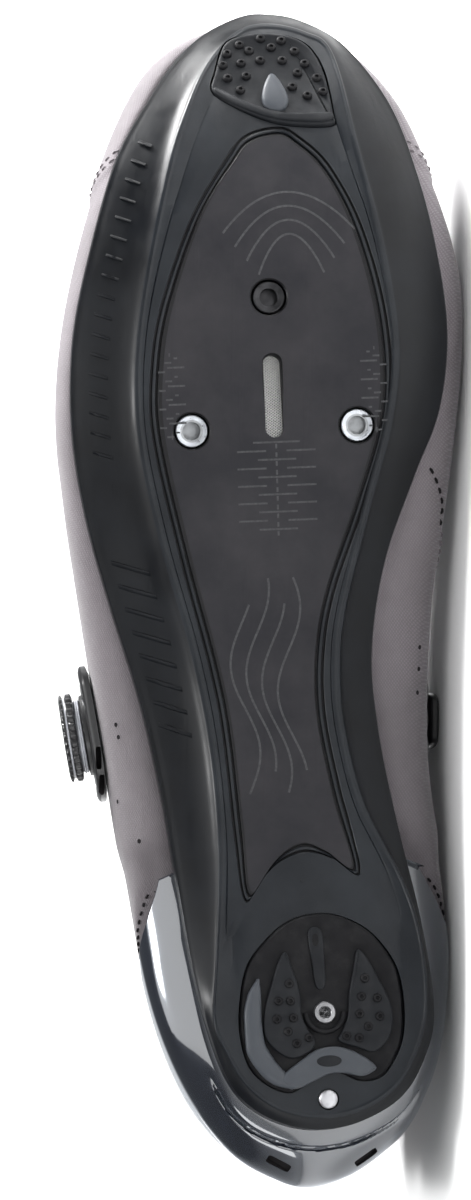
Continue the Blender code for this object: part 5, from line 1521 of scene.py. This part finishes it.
def cup_rays():
    """Rays fanned from the spine's end to the last's widest line, within the cup."""
    arc = LAST[LAST[:, 0] < CUP_FRONT * SHOE_LENGTH]
    arc = arc[np.argsort(np.arctan2(arc[:, 1] - SPINE_SIDE, SPINE_BACK - arc[:, 0]))]
    for at, row in ((0, 1), (len(arc), -2)):
        near = arc[0 if at == 0 else -1]
        toward = arc[row] - near
        share = (CUP_FRONT * SHOE_LENGTH - near[0]) / toward[0]
        arc = np.insert(arc, at, near + toward * share, axis=0)
    ends = along_line(arc, run_of(arc)[-1] * eased(CUP_COLUMNS, 0.35))
    start = np.array([SPINE_BACK, SPINE_SIDE])
    return np.tile(start, (len(ends), 1)), unit(ends - start)


def eased(count, ease):
    """Steps from 0 to 1 that crowd towards both ends."""
    t = np.linspace(0, 1, count)
    return (1 - ease) * t + ease * (0.5 - 0.5 * np.cos(math.pi * t))


def grid_normals(grid, core):
    """Outward directions on an open grid of points, away from a core."""
    normals = unit(np.cross(np.gradient(grid, axis=0), np.gradient(grid, axis=1)))
    return normals * np.sign((normals * (grid - np.array(core))).sum())


def grid_faces(grid):
    """Faces over an open grid of points."""
    return quad_faces(numbered(grid).T, False).swapaxes(0, 1).reshape(-1, 4)


def border_distance(grid):
    """Distance of each point of a grid to the nearest of its four borders."""
    gaps = []
    for axis in (0, 1):
        steps = np.linalg.norm(np.diff(grid, axis=axis), axis=2)
        run = np.cumsum(np.insert(steps, 0, 0, axis=axis), axis=axis)
        gaps += [run, np.take(run, [-1], axis=axis) - run]
    return np.minimum.reduce(gaps)


def sheet(name, grid, core, inner, outer, finishes, rounding, swell, sharp=32.0):
    """Solid sheet over a grid of points, with rounded borders and a relief on its face."""
    normals = grid_normals(grid, core)
    gap = np.clip(border_distance(grid) / rounding, 0, 1)
    drop = rounding * (1 - np.sqrt(1 - (1 - gap) ** 2))
    top = grid + normals * (outer - drop + swell)[..., None]
    back = grid + normals * (inner + drop * 0.6)[..., None]
    ids, faces = numbered(grid), grid_faces(grid)
    rim = np.concatenate([ids[:, 0], ids[-1, 1:], ids[-2::-1, -1], ids[0, -2:0:-1]])
    after = np.roll(rim, -1)
    edges = np.stack([rim, after, after + ids.size, rim + ids.size], axis=-1)
    quads = np.concatenate([faces, faces[:, ::-1] + ids.size, edges])
    return shown(name, face_mesh(name, np.stack([back, top]), quads), finishes, sharp)


def gloss_plastic(name, colour, roughness, coat):
    """Hard glossy moulding with faint flow marks and rubbed places."""
    material = finish(name, colour, roughness, coat=coat, coat_roughness=0.04)
    tint(material, ramp(material, noise(material, 50.0, 4.0, 0.6), 0.4, 0.7), tuple(c * 1.6 for c in colour))
    wear(material, noise(material, 90.0, 5.0, 0.6), roughness, roughness + 0.12)
    relief(material, noise(material, 30.0, 2.0), 0.0006, 0.06)
    rubs = noise(material, 420.0, 2.0, 0.5, (1.0, 0.1, 1.0))
    relief(material, ramp(material, rubs, 0.63, 0.7), 0.00002, 0.3)
    return material


CUP_GLOSS = gloss_plastic("heel_cup_gloss", (0.008, 0.009, 0.012), 0.10, 1.0)
CUP_GLOSS.node_tree.nodes["Principled BSDF"].inputs["Coat IOR"].default_value = 2.0
CUP_GLOSS.node_tree.nodes["Principled BSDF"].inputs["Coat Tint"].default_value = (0.80, 0.88, 1.0, 1)


def make_heel_cup():
    rays = cup_rays()
    station = out(*rays, reach(LAST, *rays))[:, 0] / SHOE_LENGTH
    top = curve_value(CUP_TOP, 1, station)
    upper_rows = 0.28 + 0.72 * np.sin(np.linspace(0, math.pi / 2, 32))
    shares = np.concatenate([np.linspace(0, 0.28, 36)[:-1], upper_rows])
    grid = np.array([last_point(*rays, share * top) for share in shares])
    distance = np.linalg.norm(grid[:, :, :2] - rays[0][0], axis=2) - reach(EDGE, *rays)
    # Groove and ledge keep to the back of the cup, under its widest line
    low = (shares[:, None] * top < WIDEST_LEVEL) * smooth((RAND_END - station) / 0.012)
    groove = np.exp(-(((distance - RAND_WIDTH) / 0.55) ** 2)) * low
    ledge = 0.35 * smooth((distance - RAND_WIDTH) / 0.8) * low
    keel = 0.7 * np.exp(-(((grid[:, :, 1] - 5.0) / 3.2) ** 2)) * smooth((shares[:, None] - 0.5) / 0.4)
    return sheet("heel_shell", grid, (86.0, 2.0, 40.0), -CUP_WALL, 0.0, [CUP_GLOSS], 0.8,
                 swell=-0.75 * groove - 0.3 + ledge * 0.6 + keel * 0.3, sharp=60.0)


def squarish(count, power):
    """Points round a square with rounded corners, from -1 to 1 both ways."""
    cos, sin = np.cos(turns(count)), np.sin(turns(count))
    return np.sign(cos) * np.abs(cos) ** power, np.sign(sin) * np.abs(sin) ** power


def cut_cup_slots(cup):
    cutters = []
    for (x0, y0), (x1, y1) in CUP_SLOTS:
        middle = under_cup((x0 + x1) / 2, (y0 + y1) / 2)
        along = np.array((x1 - x0, y1 - y0, 0.0))
        length = np.linalg.norm(along)
        along /= length
        way = np.array((-0.75, 0.0, -0.66))
        way = unit(way - along * (way @ along))
        u, v = squarish(24, 0.35)
        ring = middle + np.outer(u * length / 2, along) + np.outer(v * CUP_SLOT_HALF, np.cross(way, along))
        cutters.append(stack("slot_cut", [ring + way * high for high in (-1.3, 3.0)], [HOLE_SHADE]))
    carve(cup, cutters)


def under_cup(x, y):
    """Place on the cup's outer face seen from below."""
    start = np.array([[SPINE_BACK, SPINE_SIDE]])
    way = np.array([[x, y]]) - start
    far = np.linalg.norm(way)
    way /= far
    levels = np.linspace(0, WIDEST_LEVEL, 60)
    points = np.array([last_point(start, way, level)[0] for level in levels])
    reached = np.linalg.norm(points[:, :2] - start[0], axis=1)
    return points[np.argmin(np.abs(reached - far))]


cup = make_heel_cup()
cut_cup_slots(cup)
belongs(cup, "heel_cup_gloss", "heel_cup")


def make_cup_seam():
    """Stitches through the upper just in front of the cup."""
    shared = ((60.5, 0.31), (57.0, 0.39), (48.0, 0.52))
    lines = [last_line(side, low + shared) for side, low in (
        (-1, ((73.6, 0.05), (70.0, 0.15), (66.0, 0.21))), (1, ((74.6, 0.05), (70.6, 0.15), (66.4, 0.21))))]
    return stitches("cup_seam_threads", lines, [HOLE_SHADE], pitch=2.5, length=1.3, radius=0.3)


belongs(make_cup_seam(), "upper_microfibre")

# Tongue
# The tongue is a padded tongue of airmesh under the straps, sewn across into ribs, with a
# bound edge. It follows the arch and stands up past the collar.
TONGUE_EDGE = ((0.33, 0.72), (0.42, 0.64), (0.55, 0.66), (0.70, 0.78))
TONGUE_TIP = np.array((-4.0, 0.0, 15.0))
TONGUE_WALL, TONGUE_GAP = 3.0, 0.8


def over_arch(x, lateral_share, medial_share, steps):
    """Grid over the arch: rows from the lateral to the medial share, columns along x."""
    rows = []
    for side, share in ((-1, lateral_share), (1, medial_share)):
        rows.append([last_point(*side_rays(x, side), over_level(x, share + (1 - share) * k)) for k in steps])
    return np.array(rows[0] + rows[1][-2::-1])


def airmesh(name, colour, other):
    material = finish(name, colour, 0.85, specular=0.2, sheen=0.3)
    holes = node(material, "ShaderNodeTexVoronoi", {"Scale": 620.0}, {"Vector": shoe_place(material)})
    tint(material, ramp(material, holes.outputs["Distance"], 0.30, 0.12), other)
    relief(material, holes.outputs["Distance"], 0.0004, 0.6)
    return material


TONGUE_MESH = airmesh("tongue_mesh", (0.060, 0.060, 0.066), (0.012, 0.012, 0.014))


def make_tongue():
    x = np.linspace(0.735, 0.332, 74) * SHOE_LENGTH
    share = curve_value(TONGUE_EDGE, 1, x / SHOE_LENGTH)
    grid = over_arch(x, share, share, np.linspace(0, 1, 19))
    end = grid[:, -1]
    middle = np.array([0, SPINE_SIDE, 0])
    extra = [middle + (end - middle) * (1, 1 - 0.27 * k, 1) + TONGUE_TIP * k
             for k in np.linspace(0.06, 1, 14)]
    grid = np.concatenate([grid, np.stack(extra, axis=1)], axis=1)
    run = np.cumsum(np.insert(np.linalg.norm(np.diff(grid, axis=1), axis=2), 0, 0, axis=1), axis=1)[18]
    edge = np.clip(border_distance(grid) / 7.0, 0, 1)
    swell = (0.75 * np.abs(np.sin(math.pi * run / 11.0))[None, :] ** 0.5 - 0.75) * smooth(edge)
    inner = -(UPPER_WALL + TONGUE_GAP)
    return sheet("tongue_pad", grid, (120.0, 2.0, 20.0), inner - TONGUE_WALL, inner, [TONGUE_MESH], 1.3,
                 swell=swell)


tongue = belongs(make_tongue(), "tongue_fabric", "tongue")

# Straps
# Two microfibre straps cross the tongue: a wide one that the dial pulls and a narrow one
# with hook and loop over the toes. Their edges are cut square and stitched twice.
DIAL_PLACE = 0.3948 * SHOE_LENGTH
STRAP_THICKNESS = 1.8
INSTEP_STRAP_WIDTH, INSTEP_STRAP_ENDS = 20.0, (0.26, 0.05)
FOREFOOT_PLACE, FOREFOOT_STRAP_WIDTH, FOREFOOT_STRAP_ENDS = 0.5707 * SHOE_LENGTH, 17.0, (0.34, 0.30)
STRAP = microfibre("strap_microfibre", (0.030, 0.029, 0.031), (0.040, 0.039, 0.042), (0.014, 0.014, 0.015))
LIGHT_THREAD = finish("strap_thread", (0.16, 0.155, 0.16), 0.6, specular=0.4)
relief(LIGHT_THREAD, noise(LIGHT_THREAD, 2500.0, 2.0), 0.00006, 0.6)


def make_strap(name, place, width, ends, rib):
    x = place + width * (eased(26, 0.7) - 0.5)
    grid = over_arch(x, ends[0], ends[1], eased(46, 0.25))
    edge = np.clip(border_distance(grid) / 3.0, 0, 1)
    bulge = rib * np.cos((x - place) / width * math.pi * 3) ** 2 * smooth(edge)
    strap = sheet(name, grid, (place, 2.0, 10.0), SKIN_GAP, SKIN_GAP + STRAP_THICKNESS - rib, [STRAP], 0.6,
                  swell=bulge)
    return strap, grid


def on_strap(grid, lift):
    """Carrier for stitches on a strap's face."""
    tree = search_tree(grid, grid_faces(grid))
    return lambda points: nearest(tree, points, lambda place: Vector((place.x, SPINE_SIDE, 10.0)), lift)


for label, place, width, ends, rib in (
        ("instep", DIAL_PLACE, INSTEP_STRAP_WIDTH, INSTEP_STRAP_ENDS, 0.5),
        ("forefoot", FOREFOOT_PLACE, FOREFOOT_STRAP_WIDTH, FOREFOOT_STRAP_ENDS, 0.25)):
    strap, grid = make_strap(label + "_band", place, width, ends, rib)
    belongs(strap, "strap_microfibre", label + "_strap")
    rows = [grid[2:-2, 5], grid[2:-2, -6]] + [grid[k, 5:-5] for k in (3, -4)]
    thread = stitches(label + "_band_threads", rows, [LIGHT_THREAD], pitch=2.4, length=1.8, radius=0.18,
                      lift=0.02, carrier=on_strap(grid, SKIN_GAP + STRAP_THICKNESS - rib))
    belongs(thread, "strap_microfibre")

# Strap anchor
# A moulded clip holds the instep strap's medial end. Its two slots let the strap be
# set longer or shorter.
ANCHOR_WIDTH, ANCHOR_SPAN = 13.4, (0.06, 0.24)


def plate(name, side, place, half_length, shares, bottom, rows, finishes, power=4.0):
    """Plate with a rounded outline that follows the last: rows of size and height."""
    u, v = squarish(72, 2 / power)
    middle, half = sum(shares) / 2, (shares[1] - shares[0]) / 2
    rings = []
    for size, height in rows:
        x, share = place + half_length * u * size, middle + half * v * size
        points, ahead, above = (last_point(*side_rays(x + step, side), over_level(x + step, share + rise))
                                for step, rise in ((0, 0), (0.5, 0), (0, 0.01)))
        way = unit(np.cross(ahead - points, above - points))
        way *= np.sign((way * (points - (place, SPINE_SIDE, 30.0))).sum(axis=1))[:, None]
        rings.append(points + way * (bottom + height))
    return skin(name, rings, finishes)


DIAL_BLACK = gloss_plastic("dial_plastic", (0.012, 0.012, 0.013), 0.30, 0.15)
anchor_rows = ((0, 0), (0.9, 0), (0.97, 0.15), (1.0, 0.6), (1.0, 1.5), (0.95, 2.0), (0.86, 2.2), (0.60, 2.2),
               (0.54, 1.9), (0.52, 1.5), (0.48, 1.5), (0.44, 1.9), (0.38, 2.2), (0, 2.2))
anchor_seat = SKIN_GAP + STRAP_THICKNESS + SEAT_GAP
anchor = plate("strap_clip", 1, DIAL_PLACE, ANCHOR_WIDTH / 2, ANCHOR_SPAN, anchor_seat, anchor_rows,
               [DIAL_BLACK])
belongs(anchor, "dial_plastic", "strap_anchor")

# Dial
# The closure dial winds a cord that pulls the instep strap. Its black base is sewn to the
# lateral quarter, a pale grey collar sits on the base, and a ribbed knob turns on top.
DIAL_BASE_LENGTH, DIAL_BASE_SPAN = 32.0, (-0.02, 0.22)
DIAL_RING_HEIGHT, DIAL_PAD_RISE = 1.0, 0.6
# Knob from its foot to the middle of its cap: radius, height, depth of the ribs
KNOB_PROFILE = (
    (0.0, 0.0, 0), (9.2, 0.0, 0), (9.85, 0.2, 0.3), (10.15, 0.45, 1), (10.15, 1.5, 1), (9.95, 1.7, 0.6),
    (9.75, 1.8, 0), (9.7, 1.9, 0), (9.7, 2.3, 0), (9.75, 2.4, 0), (10.1, 2.5, 0.4), (10.2, 2.8, 1),
    (10.0, 3.1, 0.8), (9.5, 3.3, 0.3), (8.9, 3.4, 0), (8.2, 3.3, 0), (7.6, 3.1, 0), (4.2, 2.95, 0),
    (3.9, 3.05, 0), (3.5, 3.15, 0), (0.0, 3.2, 0),
)
KNOB_BELT, KNOB_RIBS = 7, 30
DIAL_GREY = gloss_plastic("dial_ring_plastic", (0.36, 0.37, 0.40), 0.35, 0.1)


def dial_axis():
    """Foot and direction of the dial's axis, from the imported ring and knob."""
    back = LAY.inverted()
    ring, knob = (np.array(back @ Vector(node_middle(name))) for name in ("dial_ring", "dial_knob"))
    return ring, unit(knob - ring)


RING_MIDDLE, DIAL_WAY = dial_axis()


def make_dial_base():
    rows = ((0, 0), (0.94, 0), (1.0, 0.25), (1.0, 1.4), (0.97, 1.9), (0.91, 2.2), (0.80, 2.2), (0.76, 2.05),
            (0.72, 2.2), (0, 2.2))
    return plate("dial_foot", -1, DIAL_PLACE, DIAL_BASE_LENGTH / 2, DIAL_BASE_SPAN, SKIN_GAP, rows,
                 [DIAL_BLACK], 3.2)


def cut_dial_windows(base):
    """Two windows in the base's edge on the heel side, which face the sole."""
    cutters = []
    u, v = squarish(20, 0.4)
    for x, share, size in ((103.4, -0.012, 5.4), (97.2, 0.004, 4.6)):
        middle = last_point(*side_rays([x], -1), over_level([x], share))[0]
        ring = middle + np.stack([u * size / 2, v * 0.75 * 0.9 - 1.6, 0 * u], axis=1)
        cutters.append(stack("window_cut", [ring + (0, 0, rise) for rise in (2.6, -3.0)], [HOLE_SHADE]))
    carve(base, cutters)


base = make_dial_base()
cut_dial_windows(base)
belongs(base, "dial_plastic", "dial_base")
pad_foot = RING_MIDDLE - DIAL_WAY * (DIAL_RING_HEIGHT / 2 + SEAT_GAP + DIAL_PAD_RISE)
pad_profile = ((0, -0.4), (9.66, -0.4), (9.66, 0.45), (9.4, 0.7), (8.9, 0.72), (8.2, 0.88), (0, 0.88))
belongs(turned("dial_seat", pad_profile, [DIAL_BLACK], pad_foot, DIAL_WAY), "dial_plastic")
ring_foot = RING_MIDDLE - DIAL_WAY * DIAL_RING_HEIGHT / 2
ring_profile = ((0, 0), (8.6, 0), (8.82, 0.15), (8.82, 0.38), (8.6, 0.5), (8.82, 0.62), (8.82, 0.9),
                (8.6, 1.08), (8.3, 1.28), (0, 1.28))
ring = turned("dial_collar", ring_profile, [DIAL_GREY], ring_foot, DIAL_WAY)
belongs(ring, "dial_ring_plastic", "dial_ring")


def make_knob():
    """Knob with ribs round its skirt, a pale belt and a dished black cap."""
    angles = turns(240)
    ripple = (0.5 + 0.5 * np.cos(angles * KNOB_RIBS)) ** 0.6
    rows = []
    for radius, height, rib in KNOB_PROFILE:
        size = radius + 0.3 * rib * (ripple - 0.5) * 2
        plan = np.stack([size * np.cos(angles), size * np.sin(angles)], axis=1)
        rows.append(raised(plan, 0 * angles + height))
    foot = RING_MIDDLE + DIAL_WAY * (DIAL_RING_HEIGHT / 2 + SEAT_GAP)
    zones = [0] * (len(KNOB_PROFILE) - 1)
    zones[KNOB_BELT] = 1
    return skin("dial_turner", stood(rows, foot, DIAL_WAY), [DIAL_BLACK, DIAL_GREY], zones=zones)


belongs(make_knob(), "dial_plastic", "dial_knob")
